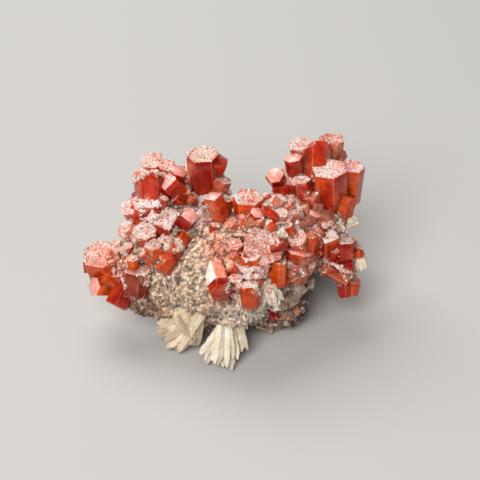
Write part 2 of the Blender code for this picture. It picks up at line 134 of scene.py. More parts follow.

# The clusters as they grew. A crystal is the middle of its free end, the turn of its axis from straight up the view
# plane and out of it, its turn about the axis, its width and length, its tone, its end (crust, half crust, plain, or
# pink and white ends painted pale, in part as a painted reflection), its sides and how flat its section is.
# A root is the middle and the half sizes of the lump that carries them. Strewn is seed, count, widths, frontmost.
clusters = {
    "vanadinite_upper_left": {
        "roots": [(-15.4, 8.6, -0.2, 6.2, 6, 5.2)],
        "crystals": [
            (-17.7, 12.8, 4.5, -4, -10, 22, 6.8, 9, "red", "plain"),
            (-14.6, 11.8, 7, -44, 42, 45, 4.4, 8, "red", "pink", 4),
            (-17.6, 16, 1.5, -8, 46, 10, 5, 7, "red", "crust"),
            (-14.6, 15, 2.5, 12, 44, 25, 4, 6.5, "red", "crust"),
            (-12.3, 13.9, 3, 32, 38, 0, 3.6, 6, "red", "pink"),
            (-20.2, 13.1, 2.6, -44, 36, 10, 3.6, 6.5, "red", "crust"),
            (-11.6, 9.6, 5, 55, 30, 10, 3.4, 6, "red", "plain"),
        ],
        "strewn": (43, 6, 2.4, 4.2, 0.1),
    },
    "vanadinite_tall_crystals": {
        "roots": [(-6.4, 6.6, -1.4, 4.6, 5.6, 4.6), (-4, 3.4, 2.2, 3.8, 3.6, 3.2)],
        "crystals": [
            (-7.5, 17.2, 4, -4, 37, 30, 6.6, 13, "deep", "crust"),
            (-4.7, 16.2, 2.5, 24, 34, 10, 5.2, 9, "red", "plain"),
            (-3.4, 12.2, 2, 26, 26, 20, 4, 7, "rose", "crust"),
            (-5.4, 8.8, 8.5, -19, 34, 0, 3.8, 11, "orange", "pink", 4),
            (-2.8, 8.4, 5, 14, 25, 10, 3.4, 6.5, "dark", "crust"),
            (-10, 13.6, 1, -22, 34, 0, 3.6, 7, "rose", "crust"),
        ],
        "strewn": (5, 4, 2.4, 4, 0),
    },
    "vanadinite_left_shelf": {
        "roots": [(-17.8, 2, 3.4, 5.6, 4.6, 4.2), (-13.2, 0.2, 6.4, 4, 3.6, 3.2)],
        "crystals": [
            (-15.4, 4.8, 9.5, 4, 53, 113, 7.6, 7.5, "deep", "crust", 4, 0.95),
            (-9.9, 4.9, 11, 40, 50, 45, 4, 7.5, "deep", "pink", 4),
            (-21.6, 6.8, 5.5, -26, 48, 0, 5, 7, "orange", "crust"),
            (-22.6, 2.2, 6.5, -34, 52, 20, 4.4, 7, "rose", "crust"),
            (-15.6, -6.4, 12, -148, 20, 30, 3, 9, "orange", "plain"),
            (-19, 2, 9, -10, 56, 0, 4.6, 6, "rose", "crust"),
            (-17.4, -0.8, 10, 5, 45, 0, 3.6, 6, "rose", "crust"),
            (-19.6, 6.6, 8, 12, 40, 10, 3.4, 6, "red", "crust"),
        ],
        "strewn": (7, 4, 2, 3.4, 0.3),
    },
    "vanadinite_left_tip": {
        "roots": [(-23.2, -6.4, 2.8, 6.2, 4.6, 4.2)],
        "crystals": [
            (-29.2, -9.3, 7, -88, 40, 0, 4, 8.5, "orange", "pink"),
            (-24.9, -13.2, 6, -152, 8, 0, 5, 7.5, "deep", "plain"),
            (-20.6, -5.8, 9, 6, 28, 12, 5.6, 5.4, "brown", "crust"),
            (-27.8, -2.8, 6.5, -12, 48, 0, 7.6, 5.4, "orange", "crust"),
            (-21.6, -3.6, 10, 0, 40, 15, 2.6, 5, "orange", "crust"),
            (-24.6, -1.2, 6, 4, 45, 0, 3.6, 5, "rose", "crust"),
            (-24.6, -6.2, 6.6, -14, 34, 0, 3.8, 5, "red", "crust"),
            (-27.4, -7, 7.2, -40, 35, 10, 3.4, 5, "orange", "plain"),
        ],
        "strewn": (11, 5, 2.4, 3.8, 0.1),
    },
    "vanadinite_centre": {
        "roots": [(3.6, 1.8, 6.4, 5.4, 5.8, 4.6), (4.6, -3.6, 8.8, 4.4, 3.8, 3.4)],
        "crystals": [
            (1.6, 8.6, 8, -4, 35, 20, 6.2, 8.5, "orange", "crust"),
            (3.4, 5.5, 10.6, 25, 45, 0, 2.8, 6, "red", "pink"),
            (5.7, 6.1, 9.6, 30, 40, 0, 3, 6, "red", "plain"),
            (4.7, -1.3, 13, 18, 56, 10, 8.6, 5.5, "red", "crust"),
            (7.9, -4.2, 13, 3, 22, 0, 3.2, 5, "orange", "crust"),
            (2.2, -3.2, 14.2, -8, 28, 30, 4.2, 6, "orange", "crust"),
            (-1, -0.8, 12.4, -10, 50, 10, 3.2, 6, "rose", "crust"),
            (8.4, -0.6, 12, 40, 40, 20, 3, 5, "red", "plain"),
        ],
        "strewn": (13, 4, 1.8, 2.8, 0.9),
    },
    "vanadinite_front": {
        "roots": [(-0.8, -9.4, 9.8, 5.2, 3.6, 3.8)],
        "crystals": [
            (-3.7, -10.6, 16, 162, 46, 6, 4.6, 10, "banded", "plain"),
            (1.7, -8.8, 15, -8, 25, 30, 3.8, 4.6, "orange", "crust"),
            (-1.2, -7.6, 14, -12, 50, 10, 2.6, 4, "rose", "crust"),
        ],
        "strewn": (17, 3, 1.6, 2.4, 0.9),
    },
    "vanadinite_centre_right": {
        "roots": [(12.6, 1, 4, 5.6, 5.2, 4.2)],
        "crystals": [
            (14, 1.2, 9, 6, 32, 30, 4.2, 6, "orange", "half"),
            (11.4, 0.4, 10, -35, 52, 0, 4.2, 6, "rose", "crust"),
            (11.8, -2.2, 9.6, 10, 22, 25, 5.4, 6, "orange", "pink"),
            (13.3, 4, 7.4, 0, 58, 0, 2.8, 5, "mauve", "plain"),
            (17.2, 4.6, 6.4, 10, 58, 20, 4, 6, "mauve", "plain"),
            (9, 4.5, 9, -30, 48, 0, 3.2, 6, "rose", "crust"),
            (14.6, -4.2, 7.4, 60, 26, 0, 2.8, 5, "mauve", "pink"),
        ],
        "strewn": (19, 4, 1.8, 2.8, 0.5),
    },
    "vanadinite_upper_right": {
        "roots": [(16.6, 11.4, -2.2, 6, 6, 5.4), (10.6, 10.4, -1.8, 4.6, 4.6, 4.4)],
        "crystals": [
            (17.9, 14.3, 5.5, -4, 38, 6, 7.4, 9, "red", "crust"),
            (22.4, 14.8, 2, 5, 32, 30, 5.4, 8, "orange", "crust"),
            (12, 19.2, 0, -15, 40, 0, 5, 9, "deep", "crust"),
            (10.6, 16.5, 2.5, -13, 35, 30, 3.8, 7.5, "deep", "pink"),
            (15.8, 18.8, 0, 4, -24, 30, 5.2, 8, "red", "plain"),
            (18.4, 20.2, -2, 5, 35, 20, 5.2, 10, "pink", "crust"),
            (7, 13, 3, -35, 58, 0, 3.6, 7, "deep", "pink"),
            (8.2, 10.8, 2, -10, 15, 0, 4.2, 6, "deep", "plain"),
            (12.2, 12, 4.5, -12, 20, 20, 4.2, 6.5, "deep", "crust"),
            (21.7, 8.9, 2.6, 16, 18, 10, 4, 6, "orange", "plain"),
            (14.2, 9, 5.2, -24, 30, 0, 3.4, 5.5, "red", "crust"),
        ],
        "strewn": (23, 8, 2.8, 4.8, -0.1),
    },
    "vanadinite_right_tip": {
        "roots": [(19.4, -2, 1.8, 4.2, 4.2, 3.6), (20.8, -6.4, 0.4, 2.8, 2.6, 2.4)],
        "crystals": [
            (17.8, 1, 6.4, -5, 46, 66, 5, 6.5, "orange", "white", 4, 0.83),
            (21.1, 0, 5, -2, 24, 30, 4.2, 6, "deep", "crust"),
            (22.7, -5.3, 5, 82, 12, 30, 2.8, 6.5, "deep", "plain"),
            (23.7, -1.1, 3.4, 60, 22, 0, 2.8, 5.5, "rose", "crust"),
            (20.6, -8.4, 2, -12, 24, 0, 3.2, 3, "deep", "crust"),
            (22.9, -8, 2, 12, 28, 0, 3, 3, "orange", "crust"),
            (17.2, -5.6, 4.6, -60, 10, 20, 2.8, 5, "rose", "crust"),
        ],
        "strewn": (29, 4, 2, 3.2, -0.2),
    },
    "vanadinite_back": {
        "rootsInRoom": [(-5, 9.4, 11, 6, 4.2, 5.4), (6, 10.4, 9.6, 6, 4.4, 5.2)],
        "strewn": (31, 16, 3.2, 5.8, -0.15),
    },
}
strewnGrowth = {"proud": (0.25, 0.7), "buried": 0.7, "leaning": 0.35, "lowest": -0.55}


def rootFrames(cluster):
    # each root's place and turn, and its half sizes
    frames = []
    for x, y, z, *sizes in cluster.get("rootsInRoom", []):
        ground = Vector((photoView["middle"].x, photoView["middle"].y, 0))
        frames.append((Matrix.Translation(ground + Vector((x, y, z)) * mm), Vector(sizes) * mm))
    for across, upward, outward, *sizes in cluster.get("roots", []):
        place = Matrix.Translation(onView(across, upward, outward))
        frames.append((place @ viewAxes.to_4x4(), Vector(sizes) * mm))
    return frames


def crystalFrame(axis, end, spin, long):
    front = (viewOut - axis * viewOut.dot(axis)).normalized()
    turned = Matrix((front.cross(axis), front, axis)).transposed().to_4x4()
    return Matrix.Translation(end - axis * long / 2) @ turned @ Matrix.Rotation(math.radians(spin), 4, "Z")


def rootedLong(wide, flat, long, sides, spin, axis, end, roots):
    # a crystal ends as soon as its roots cover every corner of its buried end
    for step in range(1, 40):
        tried = long * step / 40
        place = crystalFrame(axis, end, spin, tried * mm)
        covered = 0
        for side in range(sides):
            turn = math.tau * side / sides
            rim = Vector((wide / 2 * math.cos(turn), wide / 2 * flat * math.sin(turn), -tried / 2))
            corner = place @ (rim * mm)
            for rootPlace, sizes in roots:
                near = rootPlace.inverted() @ corner
                if Vector(near[i] / sizes[i] for i in range(3)).length < 0.9:
                    covered += 1
                    break
        if covered == sides:
            return tried
    return long


def axisOf(lean, toward):
    tilt, forward = math.radians(lean), math.radians(toward)
    return (viewRight * math.sin(tilt) + viewUp * math.cos(tilt)) * math.cos(forward) + viewOut * math.sin(forward)


def crystalsOf(cluster):
    # every crystal of a cluster: its frame, width, depth, length, sides, tone and end
    roots, grown = rootFrames(cluster), []
    for across, upward, outward, lean, toward, spin, wide, long, side, end, *shape in cluster.get("crystals", []):
        sides, flat = (*shape, 6, 1)[:2] if len(shape) != 1 else (shape[0], 1)
        axis, tip = axisOf(lean, toward), onView(across, upward, outward)
        real = rootedLong(wide, flat, long, sides, spin, axis, tip, roots)
        place = crystalFrame(axis, tip, spin, real * mm)
        grown.append((place, wide * mm, wide * flat * mm, real * mm, sides, side, end))
    seed, count, thin, thick, frontmost = cluster["strewn"]
    dice = random.Random(seed)
    named = len(grown)
    while len(grown) < named + count:
        place, sizes = dice.choice(roots)
        way = Vector((dice.gauss(0, 1), dice.gauss(0, 1), dice.gauss(0, 1))).normalized()
        axis = (place.to_3x3() @ way).normalized()
        if axis.dot(viewOut) > frontmost or axis.z < strewnGrowth["lowest"]:
            continue
        wide = dice.uniform(thin, thick)
        proud = dice.uniform(*strewnGrowth["proud"]) * wide
        tip = place @ (way * sizes) + axis * proud * mm
        jitter = Vector((dice.uniform(-1, 1), dice.uniform(-1, 1), dice.uniform(-1, 1)))
        leaning = (axis + jitter * strewnGrowth["leaning"]).normalized()
        long = proud + wide * strewnGrowth["buried"]
        place = crystalFrame(leaning, tip, dice.uniform(0, 60), long * mm)
        side = ("red", "orange", "deep", "red", "brown")[len(grown) % 5]
        end = ("crust", "plain", "pink")[len(grown) % 3]
        grown.append((place, wide * mm, wide * mm, long * mm, 6, side, end))
    return grown


# Where the photo shows crust on the sides of crystals too: across, up and reach in mm, how thick.
crustPatches = [
    (2, -8.6, 1, 0.7), (5.2, -1.2, 2.6, 0.8), (11.4, 0, 1.8, 0.8), (13.6, -4, 1.6, 0.7),
    (12, -6.4, 2, 0.7), (2, 2.4, 1.8, 0.8), (-0.8, 1.6, 1.8, 0.7), (-18.8, -8, 1, 0.8), (-20.4, 1, 1.2, 0.8),
    (-16, -4, 1, 0.7), (-18.4, 7.6, 1.4, 0.9), (-10.4, 11.2, 1, 0.5), (-7.2, 6.4, 1.6, 0.6),
    (-3.6, 10, 1.6, 0.6), (14.4, 9.2, 1.4, 0.8), (16.4, -4.8, 1.6, 0.8), (-2.8, -5.6, 1.4, 0.8), (-2.4, -9.6, 1, 0.6),
    (4.4, -10, 1.6, 0.8), (22.4, -3.6, 1.4, 0.5), (-24.4, -4.4, 1.8, 0.9), (-27.2, -5.2, 1.2, 0.6),
    (-22.8, 0, 1.8, 0.9), (-23.2, 4.4, 1.8, 0.8), (12, 11.6, 1.4, 0.8), (6, 10.8, 1, 0.4), (11.2, 18, 1.2, 0.6),
    (20, 5.6, 1.2, 0.5), (-14.4, 12.8, 1.6, 0.5), (-18.8, 14.4, 1.6, 0.6), (20, -2, 1, 0.3),
    (21.6, -7.2, 1.2, 0.7),
]

# What the crust and the core look like in places that the photo shows: across, up and reach in mm, tone, strength.
places = [
    (-18.4, 6, 2.2, "white", 0.9), (-22.4, 6.8, 1.6, "white", 0.8), (-19.2, 1.6, 2.4, "white", 0.9),
    (-14.8, -0.6, 1.6, "white", 0.9), (-21, -2.8, 2.8, "cream", 0.9), (-28, -2, 3, "salmon", 0.7),
    (-31.2, -2, 1, "white", 0.9), (-28.8, -0.4, 1.4, "cream", 0.9), (-31.2, -5.2, 1, "white", 0.9),
    (-8, 3.6, 1.4, "white", 0.9), (-17.6, 16.4, 2, "cream", 0.9), (-14, 14, 2, "pink", 0.7),
    (-8, 17.6, 2.6, "cream", 0.9), (-10.2, 12.4, 1.6, "salmon", 0.8), (-7, -2.6, 4, "sand", 0.5),
    (-11, -9, 5.6, "sand", 0.8), (-4.2, -1, 2.6, "salmon", 0.75), (-1.4, -4.4, 2.2, "salmon", 0.6), (-15, -14, 3.6, "tan", 0.7),
    # the darkest of these places is painted shade in a hollow
    (-18.8, -14, 2.4, "umber", 0.7), (-6.8, -17.8, 2.2, "hollowShade", 0.9), (-2, -16.4, 1.6, "cream", 0.9),
    (-10, -12, 2.8, "sand", 0.7), (-5, -13, 2.4, "tan", 0.6), (-0.4, 8.6, 1, "white", 0.9), (2, 9.2, 1.6, "orange", 0.85),
    (6.4, 7.2, 2.8, "white", 0.9), (9.4, 4.8, 3.6, "white", 0.9), (14.8, 4.4, 2, "mauve", 0.8),
    (11.6, 7, 2, "white", 0.8), (17.4, 0.8, 1.8, "white", 0.8),
    (18.4, 4.8, 2.4, "mauve", 0.8), (4.4, -0.6, 3.6, "tan", 0.35), (5.2, 1.6, 2.4, "white", 0.5),
    (1.2, -8.4, 1.8, "white", 0.9), (3, -6.6, 2, "white", 0.8), (4.8, -11.2, 1.8, "cream", 0.9), (3.2, -13.8, 2.2, "white", 0.9), (0.4, -15, 1.8, "cream", 0.8), (18, 1.2, 1.8, "white", 0.9),
    (20.4, 2.4, 2.4, "cream", 0.8), (16, -3.6, 2.4, "rose", 0.7), (10, -7, 2.4, "mauve", 0.5), (11, -11, 3, "grey", 0.5),
    (12.4, -12, 3.2, "umber", 0.6), (6, -15.6, 2.8, "tan", 0.6), (12, 19.8, 1.8, "white", 0.8),
    (17.2, 19.6, 2.4, "salmon", 0.8), (17.4, 15, 2.2, "white", 0.9), (21.4, 15, 1.6, "pink", 0.8),
    (7.2, 12.6, 1.8, "pink", 0.9), (12, 12, 1.4, "white", 0.8), (14, 8.8, 1.6, "rose", 0.7),
    (10, 8.8, 2, "mauve", 0.6), (19.6, -7.2, 2.4, "tan", 0.7), (22, -8, 1.6, "salmon", 0.6), (19.6, -5.8, 2, "white", 0.8),
]


def onlySelect(thing):
    bpy.ops.object.select_all(action="DESELECT")
    thing.select_set(True)
    bpy.context.view_layer.objects.active = thing


def pickFaces(thing, test):
    # in edit mode, selects the faces that pass
    bpy.ops.mesh.select_mode(type="FACE")
    shape = bmesh.from_edit_mesh(thing.data)
    for face in shape.faces:
        face.select_set(bool(test(face)))
    bmesh.update_edit_mesh(thing.data)


def useModifier(thing, kind, **settings):
    onlySelect(thing)
    modifier = thing.modifiers.new(kind.lower(), kind)
    for key, value in settings.items():
        setattr(modifier, key, value)
    bpy.ops.object.modifier_apply(modifier=modifier.name)


def shapeOf(thing):
    # the corners, the faces and the face areas of a modelled shape, which is then removed; bevel gives its faces in
    # another order each run, so they are sorted
    points, areas = np.array([corner.co for corner in thing.data.vertices]), {}
    for face in thing.data.polygons:
        ring = np.array(face.vertices)
        areas[tuple(np.roll(ring, -ring.argmin()))] = face.area
    bpy.data.objects.remove(thing)
    rings = sorted(areas)
    return points, [np.array(ring) for ring in rings], np.array([areas[ring] for ring in rings])


def pointsOf(thing):
    points = np.empty(len(thing.data.vertices) * 3, dtype=np.float32)
    thing.data.vertices.foreach_get("co", points)
    return points.reshape(-1, 3).astype(float)


def movePoints(thing, points):
    # no point leaves the CAD box
    points = np.clip(points, lowest, highest)
    thing.data.vertices.foreach_set("co", points.astype(np.float32).ravel())
    thing.data.update()
    return points


def meshPiece(name, points, sizes, corners, cornerTones, materials, slots=None):
    # one mesh from arrays: all points, the size of each face, the point of each corner and its tone
    mesh = bpy.data.meshes.new(name)
    mesh.vertices.add(len(points))
    mesh.vertices.foreach_set("co", np.ascontiguousarray(points, dtype=np.float32).ravel())
    mesh.loops.add(len(corners))
    mesh.loops.foreach_set("vertex_index", np.ascontiguousarray(corners, dtype=np.int32))
    mesh.polygons.add(len(sizes))
    starts = np.concatenate(([0], np.cumsum(sizes)[:-1])).astype(np.int32)
    mesh.polygons.foreach_set("loop_start", starts)
    mesh.polygons.foreach_set("loop_total", np.asarray(sizes, dtype=np.int32))
    if slots is not None:
        mesh.polygons.foreach_set("material_index", np.asarray(slots, dtype=np.int32))
    mesh.update(calc_edges=True)
    paint = mesh.color_attributes.new("tone", "FLOAT_COLOR", "CORNER")
    full = np.ones((len(corners), 4), dtype=np.float32)
    full[:, :3] = cornerTones
    paint.data.foreach_set("color", full.ravel())
    thing = bpy.data.objects.new(name, mesh)
    bpy.context.scene.collection.objects.link(thing)
    for material in materials:
        mesh.materials.append(material)
    return thing


def manyCopies(model, spots, turns, sizes, colours, slot=0, top=None):
    # copies of one small model, as arrays: turned, sized, placed and toned, with another tone on their tops
    points, faces, areas = model
    moved = np.einsum("nij,nvj->nvi", turns, points[None] * sizes[:, None]) + spots[:, None]
    inside = np.all((moved > lowest) & (moved < highest), axis=(1, 2))
    moved, toned = moved[inside], colours[inside]
    flat = np.concatenate(faces)
    lengths = np.array([len(face) for face in faces])
    painted = np.repeat(toned[:, None], len(flat), axis=1)
    if top:
        name, share = top
        onTop = np.repeat([points[face][:, 2].min() > 0.7 * points[:, 2].max() for face in faces], lengths)
        painted[:, onTop] = painted[:, onTop] * (1 - share) + tones[name] * share
    corners = (np.arange(len(moved)) * len(points))[:, None] + flat[None]
    return {
        "points": moved.reshape(-1, 3), "sizes": np.tile(lengths, len(moved)), "corners": corners.ravel(),
        "tones": painted.reshape(-1, 3), "slots": np.full(len(moved) * len(faces), slot),
    }


def joinCopies(name, batches, materials):
    first = 0
    for batch in batches:
        batch["corners"] = batch["corners"] + first
        first += len(batch["points"])
    whole = [np.concatenate([batch[key] for batch in batches]) for key in ("points", "sizes", "corners", "tones")]
    return meshPiece(name, *whole, materials, np.concatenate([batch["slots"] for batch in batches]))


def treeOf(things):
    points, faces, first = [], [], 0
    for thing in things:
        own = pointsOf(thing)
        faces += [[corner + first for corner in face.vertices] for face in thing.data.polygons]
        points.append(own)
        first += len(own)
    return BVHTree.FromPolygons([Vector(point) for point in np.concatenate(points)], faces)


def noiseAt(points, size, seed=0.0):
    shift = Vector((seed, seed * 0.7, -seed))
    return np.array([noise.noise(Vector(point) / size + shift) for point in points])


def patchShade(points):
    # lighter and darker patches of the core
    wide, fine = noiseAt(points, 1.7 * mm, 21), noiseAt(points, 0.6 * mm, 22)
    return np.clip(1.06 + 0.9 * wide + 1.7 * fine, 0.3, 1.5)[:, None]


def nearPlace(seen, across, upward, reach):
    return np.exp(-((seen[:, 0] - across) ** 2 + (seen[:, 1] - upward) ** 2) / (2 * reach**2))


def withTintsAndPaintedLight(points, base):
    # the base tone, drawn towards the warm and dark places that lie near: own tones, painted glow and painted shade
    seen, mixed = inView(points), np.array(base, dtype=float)
    for across, upward, reach, name, strength in tintsAndPaintedLight:
        near = (nearPlace(seen, across, upward, reach * 0.75) * strength)[:, None]
        mixed = mixed * (1 - near) + tones[name] * near
    return mixed


def placeTones(points, palette, dice, blend=False, clump=None, placed=True):
    # a tone for each point: that of a place that the photo shows near it, or one drawn from the palette,
    # in clumps of like tones where a clump's size is given
    seen = inView(points)
    names, shares = zip(*palette)
    luck = dice.random(len(points))
    if clump:
        wave = np.clip(0.46 + 2 * noiseAt(points, clump, 7), 0, 1)
        luck = np.clip(0.84 * wave + 0.16 * luck, 0, 0.9999)
    chosen = np.searchsorted(np.cumsum(shares) / sum(shares), luck, side="right").clip(0, len(names) - 1)
    drawn = np.array([tones[name] for name in names])[chosen]
    facing = (points - np.array(photoView["middle"])) @ np.array(viewOut) > -6 * mm
    for across, upward, reach, name, strength in places if placed else []:
        near = nearPlace(seen, across, upward, reach) * strength * facing
        if blend:
            drawn = drawn * (1 - near[:, None]) + tones[name] * near[:, None]
        else:
            drawn = np.where((dice.random(len(points)) < near * 0.8)[:, None], tones[name], drawn)
    return drawn


def crustOn(points):
    seen, level = inView(points), np.zeros(len(points))
    for across, upward, reach, thick in crustPatches:
        level = np.maximum(level, nearPlace(seen, across, upward, reach) * thick * 1.25)
    return np.clip(3.2 * (level * (0.9 + 1.1 * noiseAt(points, 1.1 * mm, 4)) - 0.42), 0, 1)


def newMaterial(name):
    material = bpy.data.materials.new(name)
    material.use_nodes = True
    tree = material.node_tree
    return material, tree, tree.nodes["Principled BSDF"]


def addNode(tree, kind, inputs=None, **settings):
    node = tree.nodes.new(kind)
    for key, value in settings.items():
        setattr(node, key, value)
    for key, value in (inputs or {}).items():
        node.inputs[key].default_value = value
    return node


def tintedBy(tree, shader, layers):
    # the painted tone, tinted by layers of noise: the size of each, its darker and lighter tint, and where and how
    # sharply one turns into the other
    place = addNode(tree, "ShaderNodeTexCoord")
    tinted = addNode(tree, "ShaderNodeAttribute", attribute_name="tone").outputs["Color"]
    for scale, low, high, middle, spread in layers:
        grain = addNode(tree, "ShaderNodeTexNoise", {"Scale": scale, "Detail": 5, "Roughness": 0.62})
        tree.links.new(place.outputs["Object"], grain.inputs["Vector"])
        ramp = addNode(tree, "ShaderNodeMapRange", {"From Min": middle - spread, "From Max": middle + spread})
        tree.links.new(grain.outputs["Fac"], ramp.inputs["Value"])
        tint = addNode(tree, "ShaderNodeMix", data_type="RGBA")
        tint.inputs[6].default_value = (*low, 1)
        tint.inputs[7].default_value = (*high, 1)
        tree.links.new(ramp.outputs["Result"], tint.inputs["Factor"])
        shade = addNode(tree, "ShaderNodeMix", {"Factor": 1.0}, data_type="RGBA", blend_type="MULTIPLY")
        tree.links.new(tinted, shade.inputs[6])
        tree.links.new(tint.outputs[2], shade.inputs[7])
        tinted = shade.outputs[2]
    tree.links.new(tinted, shader.inputs["Base Color"])
    return place


def bumpBy(tree, shader, place, scale, strength, distance, cells=0):
    # a fine noise, and angular cells of another size on it, raise the surface
    grain = addNode(tree, "ShaderNodeTexNoise", {"Scale": scale, "Detail": 4})
    tree.links.new(place.outputs["Object"], grain.inputs["Vector"])
    bump = addNode(tree, "ShaderNodeBump", {"Strength": strength, "Distance": distance})
    tree.links.new(grain.outputs["Fac"], bump.inputs["Height"])
    if cells:
        facets = addNode(tree, "ShaderNodeTexVoronoi", {"Scale": cells})
        tree.links.new(place.outputs["Object"], facets.inputs["Vector"])
        second = addNode(tree, "ShaderNodeBump", {"Strength": strength, "Distance": distance})
        tree.links.new(facets.outputs["Distance"], second.inputs["Height"])
        tree.links.new(bump.outputs["Normal"], second.inputs["Normal"])
        bump = second
    tree.links.new(bump.outputs["Normal"], shader.inputs["Normal"])


def lumpTexture(name, size):
    texture = bpy.data.textures.new(name, "CLOUDS")
    texture.noise_scale = size
    texture.noise_depth = 2
    return texture


margin = 0.005 * mm
lowest, highest = np.array(cadBox[0]) + margin, np.array(cadBox[1]) - margin
lowest[2] = 0  # what rests on the table reaches it

vanadiniteFinish = {
    "roughness": 0.08, "ior": 1.5, "glow": 0.75, "glowReach": (1.0, 0.22, 0.06), "glowScale": 1.6 * mm,
    "clear": 0.25, "steps": 0.1,
}


def vanadiniteMaterial():
    material, tree, shader = newMaterial("vanadinite glass")
    place = tintedBy(tree, shader, [(520, (0.64, 0.36, 0.31), (1.18, 1.24, 0.92), 0.5, 0.14)])
    shader.inputs["Roughness"].default_value = vanadiniteFinish["roughness"]
    shader.inputs["IOR"].default_value = vanadiniteFinish["ior"]
    shader.inputs["Subsurface Weight"].default_value = vanadiniteFinish["glow"]
    shader.inputs["Subsurface Radius"].default_value = vanadiniteFinish["glowReach"]
    shader.inputs["Subsurface Scale"].default_value = vanadiniteFinish["glowScale"]
    shader.inputs["Transmission Weight"].default_value = vanadiniteFinish["clear"]
    bumpBy(tree, shader, place, 900, vanadiniteFinish["steps"], 0.08 * mm)
    return material


def sparkleMaterial(name, roughness, coat, layers):
    material, tree, shader = newMaterial(name)
    place = tintedBy(tree, shader, layers)
    bumpBy(tree, shader, place, 1200, 0.3, 0.06 * mm)
    shader.inputs["Roughness"].default_value = roughness
    shader.inputs["IOR"].default_value = 1.7
    shader.inputs["Subsurface Weight"].default_value = 0.35
    shader.inputs["Subsurface Radius"].default_value = (1.0, 0.55, 0.4)
    shader.inputs["Subsurface Scale"].default_value = 0.3 * mm
    shader.inputs["Coat Weight"].default_value = coat
    shader.inputs["Coat Roughness"].default_value = 0.06
    return material


def sugaryMaterial(name, roughness, strength, cells, layers):
    material, tree, shader = newMaterial(name)
    place = tintedBy(tree, shader, layers)
    shader.inputs["Roughness"].default_value = roughness
    bumpBy(tree, shader, place, 2400, strength, 0.15 * mm, cells)
    return material


glass = vanadiniteMaterial()
crustGrains = sparkleMaterial("crust grains", 0.22, 0.5, [(1600, (0.84, 0.76, 0.74), (1.06, 1.06, 1.06), 0.5, 0.2)])
pearlLayers = [
    (1700, (0.84, 0.52, 0.44), (1.03, 1.05, 1.08), 0.43, 0.07), (560, (0.92, 0.76, 0.7), (1.06, 1.14, 1.18), 0.5, 0.09),
]
pearl = sparkleMaterial("pearly ends", 0.4, 0.25, pearlLayers)
crustLayers = [
    (2100, (0.56, 0.26, 0.22), (1.05, 1.06, 1.1), 0.46, 0.07), (620, (0.86, 0.64, 0.6), (1.06, 1.08, 1.1), 0.5, 0.1),
]
matrixLayers = [(1900, (0.42, 0.29, 0.24), (1.2, 1.17, 1.14), 0.45, 0.1)]
crustSkin = sugaryMaterial("crust skin", 0.25, 0.9, 2600, crustLayers)
matrixSkin = sugaryMaterial("sugary barite", 0.6, 0.9, 2400, matrixLayers)
print("materials made")


# A crystal is modelled once for each kind of end, one unit wide and long, and then copied to each of its places.
crystalShape = {"edge": 0.012, "cuts": 4, "terrace": 0.07, "sink": 0.016, "uneven": 0.03, "slant": 0.06, "narrow": 0.0165}


def modelCrystal(sides, stepped, cuts):
    bpy.ops.object.select_all(action="DESELECT")
    bpy.ops.mesh.primitive_cylinder_add(vertices=sides, radius=0.5, depth=1)
    thing = bpy.context.object
    bpy.ops.object.mode_set(mode="EDIT")
    bpy.ops.mesh.select_all(action="SELECT")
    bpy.ops.mesh.bevel(offset=crystalShape["edge"], segments=1, affect="EDGES")
    if stepped:
        pickFaces(thing, lambda face: face.normal.z > 0.99)
        for nudge in ((0.012, 0.0), (-0.014, 0.018)):
            bpy.ops.mesh.inset(thickness=crystalShape["terrace"])
            bpy.ops.transform.translate(value=(*nudge, -crystalShape["sink"]))
    pickFaces(thing, lambda face: abs(face.normal.z) < 0.1 and face.calc_area() > 0.1)
    bpy.ops.mesh.subdivide(number_cuts=cuts)
    bpy.ops.object.mode_set(mode="OBJECT")
    return shapeOf(thing)


crystalModels = {
    (sides, stepped, cuts): modelCrystal(sides, stepped, cuts)
    for sides in (4, 6) for stepped in (False, True) for cuts in (1, crystalShape["cuts"])
}
# Pink and white ends are painted pale, in part as a painted reflection of the light on the tops; half ends are tinted
# salmon.
endTonesAndSheen = {"pink": ("pink", 0.93), "white": ("white", 0.92), "half": ("salmon", 0.25)}
endCrust = {"crust": 1.0, "half": 0.5, "white": 0.4}
endSlots = {"crust": 1, "white": 2, "pink": 2}
pearlSides = ("grey", "tan")
# The banded crystal's lower band: its faces that turn to the lit side get a painted white reflection, the others
# salmon.
bandLook = {"edge": 0.26, "lit": np.array(-viewRight * 0.8 + viewOut * 0.6), "turn": 0.3}
crustClump = 1.9 * mm
paleSides = ("mauve", "rose", "grey", "tan")
# painted highlights on the narrow faces along the crystals' edges
paintedEdgeHighlights = {"pale": ("white", 0.8), "red": ("pink", 0.4)}
endPalette = [("white", 0.46), ("pink", 0.26), ("salmon", 0.18), ("rose", 0.1)]
print("crystal shapes modelled")


